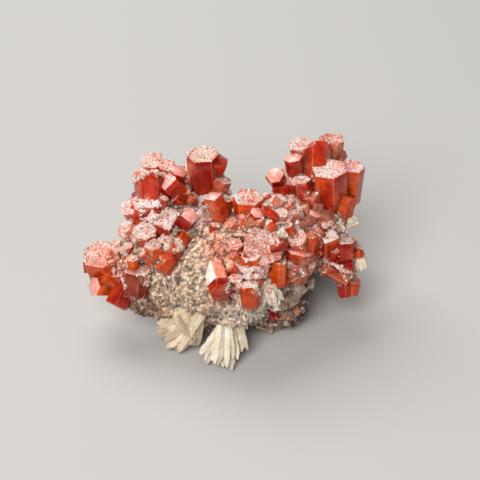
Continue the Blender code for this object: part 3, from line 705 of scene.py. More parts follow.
def crystalsPiece(name, crystals, cuts=crystalShape["cuts"]):
    # all crystals of a cluster in one mesh, and how much crust each of its faces carries
    points, sizes, corners, painted, levels, slots, first = [], [], [], [], [], [], 0
    dice = np.random.default_rng(len(name))
    for place, wide, deep, long, sides, side, end in crystals:
        shape, faces, areas = crystalModels[sides, end in ("crust", "white"), cuts]
        around = (np.arctan2(shape[:, 1], shape[:, 0]) / math.tau - 0.25) * sides % sides
        uneven = 1 + dice.uniform(-crystalShape["uneven"], crystalShape["uneven"], sides)
        swell = np.interp(around, np.arange(sides + 1), [*uneven, uneven[0]])
        slant = shape[:, :2] @ dice.uniform(-crystalShape["slant"], crystalShape["slant"], 2)
        real = shape * [wide, deep, long]
        real[:, :2] *= swell[:, None]
        real[:, 2] = np.where(shape[:, 2] > 0.4, long / 2 + (shape[:, 2] - 0.5 + slant) * wide, real[:, 2])
        turn = np.array(place)
        world = np.clip(real @ turn[:3, :3].T + turn[:3, 3], lowest, highest)
        endColours = placeTones(world, endPalette, dice, True, crustClump)
        facetShade = dice.uniform(0.82, 1.12, sides + 1)
        # side tones with painted glow and painted shade
        sideTones = withTintsAndPaintedLight(world, tones[side])
        dusted = crustOn(world)[:, None] * 0.8
        sideTones = sideTones * (1 - dusted) + tones["salmon"] * dusted
        pearly = side == "banded"
        for face, area in zip(faces, areas):
            middle = shape[face].mean(axis=0)
            onEnd = middle[2] > 0.455
            pale = pearly and middle[2] < bandLook["edge"] and not onEnd
            facet = sides if onEnd else int(np.floor(around[face].mean() if np.ptp(around[face]) < 2 else 0))
            colours = sideTones[face] * facetShade[facet]
            if onEnd and end == "crust":
                colours = sideTones[face] * 0.2 + endColours[face] * 0.8
            elif onEnd and end in endTonesAndSheen:
                towards, share = endTonesAndSheen[end]
                colours = colours * (1 - share) + tones[towards] * share
            # painted highlight: the narrow faces along the edges are made paler
            elif area < crystalShape["narrow"]:  # the narrow faces along the edges catch the light
                towards, share = paintedEdgeHighlights["pale" if side in paleSides else "red"]
                colours = colours * (1 - share) + tones[towards] * share
            # painted reflection: white on the band's faces that turn to the lit side
            if pale:
                facingLight = turn[:3, :2] @ middle[:2] @ bandLook["lit"]
                colours = np.tile(tones["white" if facingLight > bandLook["turn"] else "salmon"], (len(face), 1))
            painted.append(colours)
            corners.append(face + first)
            sizes.append(len(face))
            levels.append(endCrust.get(end, 0.0) if onEnd else 0.0)
            slots.append(endSlots.get(end, 0) if onEnd else 2 if pale or side in pearlSides else 0)
        points.append(world)
        first += len(world)
    points, corners, painted = np.concatenate(points), np.concatenate(corners), np.concatenate(painted)
    return meshPiece(name, points, sizes, corners, painted, [glass, crustSkin, pearl], slots), np.array(levels)


def copyOf(name, node):
    # a copy of a CAD node's mesh, merged, as a piece of its own
    thing = bpy.data.objects.new(name, nodes[node].data.copy())
    bpy.context.scene.collection.objects.link(thing)
    thing.data.materials.clear()
    onlySelect(thing)
    bpy.ops.object.mode_set(mode="EDIT")
    bpy.ops.mesh.select_all(action="SELECT")
    bpy.ops.mesh.remove_doubles(threshold=0.0005 * mm)
    bpy.ops.object.mode_set(mode="OBJECT")
    return thing


def onCrystal(crystals):
    # a test for faces that lie on one of these crystals
    backs = [(place.inverted(), wide, deep / wide, long, sides) for place, wide, deep, long, sides, *rest in crystals]

    def test(face):
        middle = face.calc_center_median()
        for back, wide, flat, long, sides in backs:
            near, way = back @ middle, back.to_3x3() @ face.normal
            if abs(near.z) > long / 2 + 0.01 * mm:
                continue
            near.y /= flat
            way.y *= flat
            inner = wide / 2 * math.cos(math.pi / sides)
            if abs(way.z) > 0.999 and abs(near.z - long / 2) < 0.02 * mm and near.xy.length < wide / 2:
                return True
            if abs(way.z) < 0.03 and abs(near.xy.dot(way.xy.normalized()) - inner) < 0.02 * mm:
                if near.xy.length < wide / 2 + 0.02 * mm:
                    return True
        return False

    return test


def paintPoints(thing, colours):
    # one tone for each point, carried to its corners
    mesh = thing.data
    corners = np.empty(len(mesh.loops), dtype=np.int32)
    mesh.loops.foreach_get("vertex_index", corners)
    paint = mesh.color_attributes.get("tone") or mesh.color_attributes.new("tone", "FLOAT_COLOR", "CORNER")
    full = np.ones((len(corners), 4), dtype=np.float32)
    full[:, :3] = colours[corners]
    paint.data.foreach_set("color", full.ravel())


crustLook = {
    "cuts": 3, "lumps": 0.5 * mm, "lumpSize": 1.1 * mm,
    "palette": [("white", 0.34), ("pink", 0.28), ("salmon", 0.22), ("rose", 0.11), ("red", 0.05)],
}


def crustPiece(name, node, crystals):
    thing = copyOf(name, node)
    bpy.ops.object.mode_set(mode="EDIT")
    pickFaces(thing, onCrystal(crystals))
    bpy.ops.mesh.delete(type="FACE")
    bpy.ops.mesh.select_all(action="SELECT")
    bpy.ops.mesh.subdivide(number_cuts=crustLook["cuts"])
    bpy.ops.object.mode_set(mode="OBJECT")
    lumps = lumpTexture(name, crustLook["lumpSize"])
    useModifier(thing, "DISPLACE", texture=lumps, strength=crustLook["lumps"], mid_level=0.6)
    points = movePoints(thing, pointsOf(thing))
    dice = np.random.default_rng(5)
    paintPoints(thing, placeTones(points, crustLook["palette"], dice, True, crustClump))
    thing.data.materials.append(crustSkin)
    return thing


def finished(piece, slot, *replaced):
    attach(piece, "root")
    if replaced:
        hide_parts(*replaced)


hosts = []  # what carries grains: piece, crust of each face, kind, and what may cover them
for node, cluster in clusters.items():
    short = node.replace("vanadinite_", "")
    crystals = crystalsOf(cluster)
    others = [nodes[name] for name in nodes if name != node]
    piece, levels = crystalsPiece(f"{short}_glass", crystals)
    skin = crustPiece(f"{short}_crust", node, crystals)
    finished(piece, "vanadinite", node)
    finished(skin, "vanadinite")
    hosts.append((piece, levels, "end", [piece, skin, *others]))
    hosts.append((skin, None, "crust", [piece, *others]))
print("vanadinite clusters made")


coreLook = {
    "voxel": 0.42 * mm, "lumps": 0.9 * mm, "lumpSize": 1.5 * mm, "fill": 0.33, "pits": 0.45 * mm, "pitSize": 0.5 * mm,
    "clump": 1.2 * mm, "palette": [("white", 0.12), ("cream", 0.26), ("sand", 0.26), ("tan", 0.18), ("umber", 0.18)],
}
footLook = dict(coreLook, palette=[("grey", 0.26), ("tan", 0.14), ("umber", 0.6)])


def roughMass(name, node, look, slot):
    thing = copyOf(name, node)
    useModifier(thing, "REMESH", mode="VOXEL", voxel_size=look["voxel"])
    lumps = lumpTexture(name, look["lumpSize"])
    useModifier(thing, "DISPLACE", texture=lumps, strength=look["lumps"], mid_level=look["fill"])
    before, normals = pointsOf(thing), np.empty(len(thing.data.vertices) * 3, dtype=np.float32)
    thing.data.vertices.foreach_get("normal", normals)
    useModifier(thing, "DISPLACE", texture=lumpTexture(name, look["pitSize"]), strength=look["pits"], mid_level=0.6)
    raised = np.einsum("ij,ij->i", pointsOf(thing) - before, normals.reshape(-1, 3)) / look["pits"]
    points = movePoints(thing, pointsOf(thing))
    dice = np.random.default_rng(9)
    # painted shade: darker in the pits, lighter on the raised parts
    shade = np.clip(1.12 + 2.6 * raised, 0.25, 1.2)[:, None]
    colours = placeTones(points, look["palette"], dice, True, look["clump"])
    paintPoints(thing, colours * shade * patchShade(points))
    thing.data.materials.append(matrixSkin)
    thing.data.shade_smooth()
    finished(thing, slot, node)
    hosts.append((thing, None, name, [nodes[other] for other in nodes if other != node]))
    return thing


core = roughMass("sugary_core", "barite_matrix", coreLook, "matrix")
foot = roughMass("drusy_foot_rough", "drusy_foot", footLook, "druse")
print("core and foot made")


# The blades as they grew, measured as the crystals are, with their flatness last. Each is a bundle of laths.
bladeFans = {
    "barite_blade_fan": [
        (-7.8, -23.2, 8.6, -142, -4, 0, 2.8, 9, 0.6), (-6.8, -24.9, 9.2, -156, 0, 20, 2.8, 11, 0.6),
        (-4.8, -26.2, 9.6, -171, 2, 10, 3.4, 12, 0.6), (-2.6, -26.5, 10, 178, 4, -10, 3, 13, 0.6),
        (-1, -25, 9.4, 172, 2, 20, 3, 12, 0.6), (0.4, -22.6, 8, 170, -2, 0, 3, 10, 0.6),
        (0.6, -18.6, 6.8, 160, -6, 0, 2.8, 7, 0.7),
    ],
    "barite_blade_block": [
        (-16.6, -18.8, 6.4, -118, -12, 0, 5.4, 10, 0.55), (-14.4, -21.8, 4.6, -144, -26, 20, 6.4, 12, 0.6),
        (-10.6, -21.6, 5, -166, -30, 0, 5, 12, 0.6), (-12.2, -13.4, 11, -34, 40, 30, 5.6, 6, 0.7),
        (-9, -20.6, 6.4, 168, -20, 0, 3.6, 9, 0.6),
    ],
    "barite_blades_front": [
        (8.1, -13, 11.4, 152, 12, 10, 2.8, 6, 0.8), (6, -9, 13.2, -16, 34, 0, 2.8, 5, 0.8),
        (3.2, -14.4, 10.6, 196, -6, 0, 2.4, 6, 0.7),
    ],
    "barite_blades_upper_right": [
        (24.1, 4.3, 1.6, 88, 8, 0, 2.6, 6, 0.6), (23.6, 3, 1.8, 104, 8, 30, 2.6, 6, 0.6),
        (22.4, 1.9, 1.8, 122, 4, 0, 2.4, 5.5, 0.6),
    ],
    "barite_blade_right": [(24.6, -6.3, 3.4, 166, 10, 20, 2.8, 5, 0.6), (25, -2.6, 3, 30, 25, 0, 2, 4, 0.7)],
}
lathLook = {
    "count": 4, "wide": (0.3, 0.5), "thick": (0.28, 0.55), "short": 0.2, "splay": 0.12, "edge": 0.05,
    "voxel": 0.3 * mm, "lumps": 0.5 * mm, "drawnIn": 0.8,
    # the block is darker and warmer: its tan tone, and painted shade
    "tanAndPaintedShade": {"barite_blade_block": np.array([0.9, 0.83, 0.74])}, "finer": {"barite_blade_block": 2},
}


def modelLath(tip):
    # one unit wide, thick and long, with a chisel end that leans to one side
    bpy.ops.object.select_all(action="DESELECT")
    bpy.ops.mesh.primitive_cube_add(size=1)
    thing = bpy.context.object
    bpy.ops.object.mode_set(mode="EDIT")
    pickFaces(thing, lambda face: face.normal.z > 0.9)
    bpy.ops.transform.translate(value=(0, 0, -0.16))
    bpy.ops.mesh.extrude_region_move(TRANSFORM_OT_translate={"value": (tip, 0, 0.16)})
    bpy.ops.transform.resize(value=(0.34, 0.5, 1))
    bpy.ops.mesh.select_all(action="SELECT")
    bpy.ops.mesh.bevel(offset=lathLook["edge"], segments=1, affect="EDGES")
    bpy.ops.object.mode_set(mode="OBJECT")
    return shapeOf(thing)


lathModels = [modelLath(tip) for tip in (-0.24, 0.02, 0.2)]


def bladeMaterial():
    material, tree, shader = newMaterial("ivory barite")
    place = tintedBy(tree, shader, [(700, (0.8, 0.72, 0.62), (1.06, 1.06, 1.04), 0.5, 0.16)])
    shader.inputs["Roughness"].default_value = 0.3
    shader.inputs["Subsurface Weight"].default_value = 0.2
    shader.inputs["Subsurface Radius"].default_value = (1.0, 0.8, 0.6)
    shader.inputs["Subsurface Scale"].default_value = 0.8 * mm
    turned = addNode(tree, "ShaderNodeMapping", {"Rotation": (-(math.pi / 2 - rise), 0, 0), "Scale": (1, 1, 0.12)})
    grooves = addNode(tree, "ShaderNodeTexNoise", {"Scale": 1500, "Detail": 4})
    bump = addNode(tree, "ShaderNodeBump", {"Strength": 0.5, "Distance": 0.15 * mm})
    tree.links.new(place.outputs["Object"], turned.inputs["Vector"])
    tree.links.new(turned.outputs["Vector"], grooves.inputs["Vector"])
    tree.links.new(grooves.outputs["Fac"], bump.inputs["Height"])
    tree.links.new(bump.outputs["Normal"], shader.inputs["Normal"])
    return material


ivory = bladeMaterial()


def bladeBody(name, node, fan, tanAndShadeFactor):
    # what the laths grow from: the CAD form, drawn in towards its root, so that the laths stand out of it
    thing = copyOf(name, node)
    useModifier(thing, "REMESH", mode="VOXEL", voxel_size=lathLook["voxel"])
    bases = [
        onView(across, upward, outward) - axisOf(lean, toward) * long * mm
        for across, upward, outward, lean, toward, spin, wide, long, flat in fan
    ]
    root = np.mean([np.array(base) for base in bases], axis=0)
    movePoints(thing, root + (pointsOf(thing) - root) * lathLook["drawnIn"])
    useModifier(thing, "DISPLACE", texture=lumpTexture(name, 0.7 * mm), strength=lathLook["lumps"], mid_level=0.8)
    points = movePoints(thing, pointsOf(thing))
    shade = 0.9 + 0.3 * noiseAt(points, 1.2 * mm, 8)[:, None]
    paintPoints(thing, tones["ivory"] * np.clip(shade, 0.6, 1.1) * tanAndShadeFactor)
    thing.data.materials.append(ivory)
    return thing


def bladeLaths(name, fan, shade, finer, dice):
    batches, count = [], lathLook["count"] * finer
    for across, upward, outward, lean, toward, spin, wide, long, flat in fan:
        axis, tip = axisOf(lean, toward), onView(across, upward, outward)
        place = np.array(crystalFrame(axis, tip, spin, 0))
        turn = place[:3, :3]
        for number in range(count):
            side = (number + 0.5) / count - 0.5 + dice.uniform(-0.08, 0.08)
            layer = dice.uniform(-0.5, 0.5) * flat * (1 - abs(side))
            own = long * (1 - lathLook["short"] * dice.random())
            lathWide = dice.uniform(*lathLook["wide"]) * wide / finer**0.7
            lathThick = dice.uniform(*lathLook["thick"]) * wide * flat
            splay, tilt = side * lathLook["splay"] + dice.normal(0, 0.03), dice.normal(0, 0.04)
            way = turn[:, 2] + turn[:, 0] * splay + turn[:, 1] * tilt
            way /= np.linalg.norm(way)
            x = turn[:, 0] - way * (turn[:, 0] @ way)
            x /= np.linalg.norm(x)
            lathTurn = np.stack((x, np.cross(way, x), way), axis=1)
            drop = dice.random() ** 1.5 * 0.13 * long + abs(side) * 0.2 * wide
            end = place[:3, 3] + (turn[:, 0] * side + turn[:, 1] * layer) * wide * 0.8 * mm - way * drop * mm
            middle = end - way * own / 2 * mm
            sizes = np.array([[lathWide, lathThick, own]]) * mm
            colour = tones["ivory"] * dice.uniform(0.62, 1) * shade
            model = lathModels[int(dice.integers(3))]
            batches.append(manyCopies(model, middle[None], lathTurn[None], sizes, colour[None]))
    return joinCopies(name, batches, [ivory])


dice = np.random.default_rng(21)
for node, fan in bladeFans.items():
    name = node.replace("barite_", "ivory_")
    # the block's tan tone and painted shade, on its body and its laths
    tanAndShadeFactor = lathLook["tanAndPaintedShade"].get(node, 1)
    body = bladeBody(f"{name}_body", node, fan, tanAndShadeFactor)
    laths = bladeLaths(name, fan, tanAndShadeFactor, lathLook["finer"].get(node, 1), dice)
    finished(laths, "barite", node)
    finished(body, "barite")
    others = [nodes[other] for other in nodes if other != node]
    kind = "sugared" if node == "barite_blades_front" else "blade"
    hosts.append((laths, None, kind, [*others, body]))
print("blades made")


# Ropes and rims of thick crust: radius in mm, then the places they pass, across and up the view plane in mm.
crustRidges = {
    "ring on the left shelf": (0.62, [(-21.2, 0), (-20.8, 1.6), (-19.6, 2.8), (-18.2, 3), (-17.2, 2.2), (-17, 0.8)]),
    "knobs under the ring": (0.75, [(-15.8, 0), (-14.4, 0.2), (-13.8, -0.8), (-14.8, -1.4), (-16, -1.2)]),
    "cap of the left column": (0.5, [(-23.4, 6.2), (-22.6, 7.2), (-21.6, 7.6), (-20.6, 7.2)]),
    "edge of the shelf": (0.6, [(-20, 6.6), (-18.8, 7.2), (-17.4, 6.8), (-16.2, 7.4), (-14.8, 7.2)]),
    "rim of the left tip": (0.5, [(-31, -2), (-29.6, -0.8), (-28, 0), (-26.8, 0.2), (-25.4, -0.2), (-24.4, -1)]),
    "left tip's side": (0.45, [(-31, -3.8), (-31, -5)]),
    "patch beside the pink end": (0.9, [(-8, 5), (-7.8, 3.8), (-8.2, 2.6), (-7.2, 4.4)]),
    "granular patch": (0.5, [(-23.2, -2), (-21.6, -1.8), (-20, -2.4), (-18.6, -3.6), (-20.6, -3.8), (-22.2, -3.2)]),
    "over the low orange crystal": (0.4, [(0.6, -9.2), (1.8, -8.8), (3, -9.4), (3.8, -10.2)]),
    "lilac crust": (0.5, [(5.8, 7.4), (7, 8.2), (8.6, 7.4), (9.8, 6.2), (11.2, 5.2), (9.4, 4.6), (8, 5.6), (6.4, 5.8)]),
    "right band": (0.5, [(16.6, 2.8), (18, 3.2), (19.6, 2.4), (21, 1.4)]),
    "edge of the large crusted crystal": (0.3, [(6.8, 1.4), (7.4, 0), (8, -1.4), (8.6, -2.8), (9, -4)]),
    "line over the orange window": (0.28, [(0, -2.8), (1.2, -2.2), (2.6, -2), (4, -2.4)]),
    "white arc": (0.35, [(10, 11.4), (11.2, 12.4), (12.6, 12.6), (14, 12)]),
    "side of the tall crystal": (0.5, [(-10.6, 14.8), (-10.4, 13), (-10.4, 11.2), (-10.2, 9.4), (-9, 8.6)]),
    "rim of the tall crystal": (0.35, [(-10.4, 16.8), (-9.8, 18), (-8, 18.8), (-6.2, 18.4), (-5, 18)]),
    "crust under the orange window": (
        0.62, [(0.2, -5.4), (1.6, -6), (3, -5.7), (4.4, -5.9), (4.6, -7), (3.2, -7.2), (1.8, -7.4), (0.4, -6.8)]),
    "crust beside the orange block": (0.5, [(4.8, -4.4), (5.4, -5.4), (5.2, -6.6), (5.6, -7.6)]),
    "top of the ivory fan": (0.5, [(-3.8, -16.6), (-2.6, -16.4), (-1.2, -16.6), (0.2, -16.2), (1.6, -15.4)]),
    "left edge of the brown crystal": (0.35, [(-23.8, -5.6), (-23.8, -7), (-23.4, -8.4), (-23, -9.4)]),
    "step of the brown crystal": (0.42, [(-19.8, -5.8), (-19.2, -7), (-18.6, -8.2), (-19.4, -8.8)]),
    "foot of the upper left": (0.45, [(-20.6, 8), (-19, 7.6), (-17, 7.4), (-15, 7.2), (-13.2, 7.2)]),
    "top of the upper left": (0.4, [(-21, 11.6), (-19.8, 13), (-17.8, 13.8), (-15.4, 13.2), (-13.8, 12)]),
    "under the right tip": (0.36, [(16.2, -3.4), (17.4, -4.2), (18.8, -5), (20.2, -5.8), (21.6, -6.4), (22.6, -6.8)]),
    "gap round the front crystal": (0.35, [(-6.6, -3.8), (-5.6, -3.4), (-4.6, -4), (-3.8, -5.2)]),
    "under the brown crystal": (0.6, [(9.8, -5), (11, -5.8), (12.2, -6.2), (13.4, -6), (14.6, -5), (13.2, -7.4)]),
    "beside the front crystal": (0.45, [(-1.6, -5.4), (-0.6, -6.6), (-0.2, -8), (-0.4, -9.4), (0.2, -7.2)]),
    "upper end of the long crystal": (0.45, [(-11.8, -0.6), (-12.8, 0), (-11.4, -1.6), (-13.6, -2.2)]),
}
ridgeLook = {
    "voxel": 0.19 * mm, "lumps": 0.3 * mm, "lumpSize": 0.4 * mm, "strewn": 46, "strewnRadius": (0.3, 0.6),
    "palette": [("white", 0.62), ("cream", 0.2), ("pink", 0.14), ("salmon", 0.04)],
}


def ridgeSpots(tree, dice):
    # where the lumps of the ridges sit, and how large they are
    spots = []
    for radius, places in crustRidges.values():
        for start, stop in zip(places, places[1:]):
            steps = max(2, round(math.dist(start, stop) / radius / 0.8))
            for step in range(steps):
                share = step / steps
                across, upward = (start[i] * (1 - share) + stop[i] * share + dice.normal(0, 0.12) for i in (0, 1))
                way = (onView(across, upward, 0) - eye).normalized()
                spot, facing, face, far = tree.ray_cast(eye, way)
                if spot is not None:
                    spots.append((spot - facing * radius * 0.1 * mm, radius * dice.uniform(0.7, 1.25) * mm))
    skins = [host for host, levels, kind, covers in hosts if kind == "crust" and levels is None]
    for number in range(ridgeLook["strewn"]):
        skin = skins[int(dice.integers(len(skins)))].data
        corner = skin.vertices[int(dice.integers(len(skin.vertices)))]
        spot, radius = corner.co.copy(), dice.uniform(*ridgeLook["strewnRadius"])
        drift = Vector(dice.normal(0, 1, 3)).normalized()
        for step in range(int(dice.integers(2, 6))):
            spots.append((spot, radius * dice.uniform(0.7, 1.25) * mm))
            spot = tree.find_nearest(spot + drift * radius * 1.1 * mm)[0]
    return spots


def thickCrust():
    tree = treeOf([host for host, levels, kind, covers in hosts])
    dice = np.random.default_rng(77)
    bpy.ops.object.select_all(action="DESELECT")
    bpy.ops.mesh.primitive_ico_sphere_add(subdivisions=2, radius=1)
    ball = shapeOf(bpy.context.object)
    spots = ridgeSpots(tree, dice)
    turns = np.tile(np.eye(3), (len(spots), 1, 1))
    sizes = np.array([[radius] * 3 for spot, radius in spots])
    places = np.array([spot for spot, radius in spots])
    copies = manyCopies(ball, places, turns, sizes, np.ones((len(spots), 3)))
    thing = joinCopies("crust_ridges", [copies], [crustSkin])
    useModifier(thing, "REMESH", mode="VOXEL", voxel_size=ridgeLook["voxel"])
    lumps = lumpTexture("ridge lumps", ridgeLook["lumpSize"])
    useModifier(thing, "DISPLACE", texture=lumps, strength=ridgeLook["lumps"], mid_level=0.5)
    points = movePoints(thing, pointsOf(thing))
    paintPoints(thing, placeTones(points, ridgeLook["palette"], dice, True, crustClump))
    finished(thing, "vanadinite")
    hosts.append((thing, None, "ridge", list(nodes.values())))


thickCrust()
print("crust ridges made")


# Small crystals on the crust and the core: across and up the view plane, lean and turn towards the eye, width, tone
# and end. Others like them are strewn over the crust on every side.
smallCrystals = [
    (-5, 2.2, 10, 30, 2.2, "red", "crust"), (-1.6, 2.6, -30, 40, 2.4, "rose", "crust"),
    (1.2, 3.2, 35, 25, 2.2, "red", "crust"), (3.8, 3.4, -15, 40, 2.6, "rose", "crust"),
    (6.4, 2.6, 50, 20, 2, "orange", "plain"), (-0.8, -3.4, -45, 30, 2, "rose", "crust"),
    (-1.4, -6, 60, 35, 1.8, "red", "plain"), (5.4, 8.4, -30, 30, 1.8, "rose", "crust"),
    (7.8, 7.6, 35, 20, 2.6, "pink", "white"), (10, 6.6, -40, 30, 2.2, "rose", "crust"),
    (8.4, 4.8, 20, 50, 2.4, "pink", "crust"), (11.6, 4.8, 60, 30, 2, "mauve", "crust"),
    (6.2, 5.2, -50, 20, 1.8, "red", "plain"), (12.8, 6, -20, 30, 2.6, "mauve", "plain"),
    (14.6, 4.4, 25, 35, 2.8, "mauve", "pink"), (15.6, 6.4, 5, 20, 2.2, "mauve", "plain"),
    (12.4, 3, 40, 20, 2.2, "mauve", "plain"), (10, 2.2, -35, 25, 2, "orange", "crust"),
    (16.4, -2.4, -60, 25, 2, "red", "plain"), (18.8, -2.8, 10, 40, 2, "deep", "crust"),
    (-22, 1.6, -40, 30, 2, "rose", "crust"),
    (-16, -2.4, 50, 25, 1.8, "orange", "plain"), (-18.8, -3, -55, 30, 2, "rose", "crust"),
    (-14, -3.4, 80, 20, 1.8, "red", "plain"), (-25.8, -3.4, -60, 25, 2, "orange", "crust"),
    (-22.8, -4.2, 40, 30, 1.8, "red", "plain"), (10.4, -7, 150, 15, 2.6, "mauve", "pink"),
    (9.4, -8.8, 165, 0, 2.8, "grey", "white"), (11.6, -9.8, 135, 10, 3, "grey", "white"),
    (13, -11.8, 120, 0, 2.4, "grey", "plain"), (8.4, -12.6, 175, -10, 2.6, "tan", "white"),
    (10.4, -12, 150, 5, 2.6, "grey", "plain"), (13.6, -8.6, 100, 15, 2.4, "grey", "white"),
    (6.8, -15, 160, 0, 2.2, "deep", "plain"), (11.2, -14, 140, 0, 2, "mauve", "plain"),
    (-9.8, 8.2, 45, 25, 1.8, "rose", "crust"), (-12.6, 7.8, -50, 25, 2, "red", "crust"),
    (-15.4, 7.6, 20, 30, 2, "rose", "crust"),
]
smallLook = {
    "long": 1.5, "proud": 0.45, "strewn": 80, "strewnWide": (1.2, 2.6),
    "bare": [
        (-16, 5, 3.2), (-10, 4.6, 2.6), (-4, -9.6, 3.2), (17.4, 12, 4), (-7.5, 14, 4), (4.6, -0.6, 3.6), (-28, -3, 3),
        (-15, -0.6, 2.6), (-19.4, 1.6, 2.6), (-18, 10, 3), (1.6, 8, 3),
    ],
}


def smallGrowth():
    # where the small crystals stand, as the large ones are given
    tree, dice, grown = treeOf([host for host, levels, kind, covers in hosts]), np.random.default_rng(33), []
    placed = []
    for across, upward, lean, toward, wide, side, end in smallCrystals:
        spot = tree.ray_cast(eye, (onView(across, upward, 0) - eye).normalized())[0]
        placed.append((spot, axisOf(lean, toward), wide, side, end))
    skins = [host for host, levels, kind, covers in hosts if kind in ("crust", "ridge")]
    for number in range(smallLook["strewn"]):
        skin = skins[int(dice.integers(len(skins)))].data
        corner = skin.vertices[int(dice.integers(len(skin.vertices)))]
        axis = (corner.normal + Vector(dice.normal(0, 0.3, 3))).normalized()
        side, end = ("red", "orange", "rose", "deep")[number % 4], ("crust", "plain", "pink")[number % 3]
        wide, seen = dice.uniform(*smallLook["strewnWide"]), inView(np.array([corner.co + axis * mm]))[0]
        inFront = (corner.co - photoView["middle"]).dot(viewOut) > -6 * mm
        if inFront and any(math.dist(seen, (x, y)) < reach for x, y, reach in smallLook["bare"]):
            continue
        placed.append((corner.co.copy(), axis, wide, side, end))
    for spot, axis, wide, side, end in placed:
        if spot is not None:
            tip = spot + axis * wide * smallLook["proud"] * mm
            long = wide * smallLook["long"] * mm
            frame = crystalFrame(axis, tip, dice.uniform(0, 60), long)
            grown.append((frame, wide * mm, wide * mm, long, 6, side, end))
    return grown


smallOnes, smallLevels = crystalsPiece("small_crystals", smallGrowth(), 1)
finished(smallOnes, "vanadinite")
hosts.append((smallOnes, smallLevels, "end", [smallOnes, *nodes.values()]))
print("small crystals made")


# Grains are modelled once each, with few faces, and then strewn over what carries them.
def modelGrain(kind):
    bpy.ops.object.select_all(action="DESELECT")
    if kind == "crumb":
        bpy.ops.mesh.primitive_cone_add(vertices=4, radius1=0.5, radius2=0.14, depth=0.85)
    elif kind in ("plate", "stub"):
        bpy.ops.mesh.primitive_cylinder_add(vertices=6, radius=0.5, depth=0.3 if kind == "plate" else 0.9)
    elif kind == "chip":
        bpy.ops.mesh.primitive_cube_add(size=1)
    else:
        bpy.ops.mesh.primitive_cylinder_add(vertices=3, radius=0.07, depth=1.8)
    thing = bpy.context.object
    bpy.ops.object.mode_set(mode="EDIT")
    bpy.ops.mesh.select_all(action="SELECT")
    if kind == "chip":
        bpy.ops.transform.resize(value=(1, 0.7, 0.45))
    elif kind == "stub":
        bpy.ops.mesh.bevel(offset=0.03, segments=1, affect="EDGES")
    elif kind == "stroke":
        bpy.ops.transform.rotate(value=math.pi / 2, orient_axis="Y", center_override=(0, 0, 0))
    pickFaces(thing, lambda face: face.normal.z > 0.9 and kind in ("chip", "plate", "needle"))
    bpy.ops.transform.resize(value=(0.72, 0.72, 1))
    bpy.ops.object.mode_set(mode="OBJECT")
    return shapeOf(thing)


grainModels = {kind: modelGrain(kind) for kind in ("crumb", "plate", "stub", "chip", "needle", "stroke")}
roughTree = treeOf([host for host, levels, kind, covers in hosts if levels is None and kind != "blade"])
crustTones = [("white", 0.46), ("cream", 0.16), ("pink", 0.2), ("salmon", 0.12), ("rose", 0.06)]
strokeTones = [("white", 0.6), ("cream", 0.2), ("pink", 0.2)]
fibreTones = [("white", 0.4), ("cream", 0.25), ("sand", 0.2), ("umber", 0.15)]
sandTones = [("white", 0.26), ("cream", 0.26), ("sand", 0.18), ("tan", 0.14), ("umber", 0.16)]
druseTones = [("white", 0.12), ("grey", 0.36), ("tan", 0.2), ("mauve", 0.06), ("umber", 0.26)]

# For each kind of host, its layers of grains: model, number on a mm², sizes in mm, spread of their axes, how far
# they are sunk, tones, and for glassy ones the tone of their tops.
grainLook = {
    "end": [
        ("crumb", 1.8, (0.1, 0.26), 0.8, 0.25, crustTones, None),
        ("chip", 1.4, (0.25, 0.55), 0.5, 0.3, crustTones, None),
        ("stroke", 2, (0.3, 0.75), 0.1, 0.0, strokeTones, None),
        ("plate", 1.2, (0.3, 0.8), 0.4, 0.25, crustTones, None),
    ],
    "crust": [
        ("crumb", 2.4, (0.14, 0.36), 0.8, 0.2, crustTones, None),
        ("chip", 1.4, (0.3, 0.7), 0.6, 0.25, crustTones, None),
        ("stroke", 2, (0.35, 0.85), 0.15, 0.0, strokeTones, None),
        ("plate", 0.9, (0.4, 1.0), 0.5, 0.2, crustTones, None),
        # the stubs' pink tops are in part a painted reflection of the light
        ("stub", 0.12, (0.6, 1.4), 0.9, 0.35, [("orange", 0.4), ("red", 0.4), ("rose", 0.2)], ("pink", 0.6)),
    ],
    "ridge": [
        ("crumb", 4, (0.16, 0.38), 0.9, 0.15, crustTones, None),
        ("stroke", 1, (0.25, 0.5), 0.15, 0.0, strokeTones, None),
    ],
    "sugary_core": [
        ("needle", 0.9, (0.4, 0.9), 1.2, 0.1, sandTones, None),
        ("stroke", 3.2, (0.4, 0.95), 0.3, 0.0, fibreTones, None),
        ("chip", 0.5, (0.2, 0.45), 0.9, 0.2, sandTones, None),
    ],
    "drusy_foot_rough": [
        ("stub", 0.5, (0.4, 1.4), 0.8, 0.25, druseTones, None),
        ("chip", 2, (0.25, 0.8), 0.8, 0.2, druseTones, None),
        ("stroke", 1.4, (0.3, 0.8), 0.3, 0.0, sandTones, None),
    ],
    "sugared": [
        ("crumb", 2, (0.16, 0.4), 0.8, 0.15, strokeTones, None), ("plate", 1.2, (0.3, 0.8), 0.5, 0.2, strokeTones, None),
        ("stroke", 1.5, (0.3, 0.7), 0.2, 0.0, strokeTones, None),
    ],
    "blade": [("chip", 0.4, (0.14, 0.4), 0.6, 0.2, [("ivory", 0.6), ("cream", 0.4)], None)],
}
# painted shadow on the foot's grains, which lie in the shade under the specimen
roughPaintedShadow = {"sugary_core": 1.0, "drusy_foot_rough": 0.72}
grainFlow = {"size": 2.2 * mm, "strength": 1.2, "collar": (0.1 * mm, 0.45 * mm), "covered": 0.1 * mm}


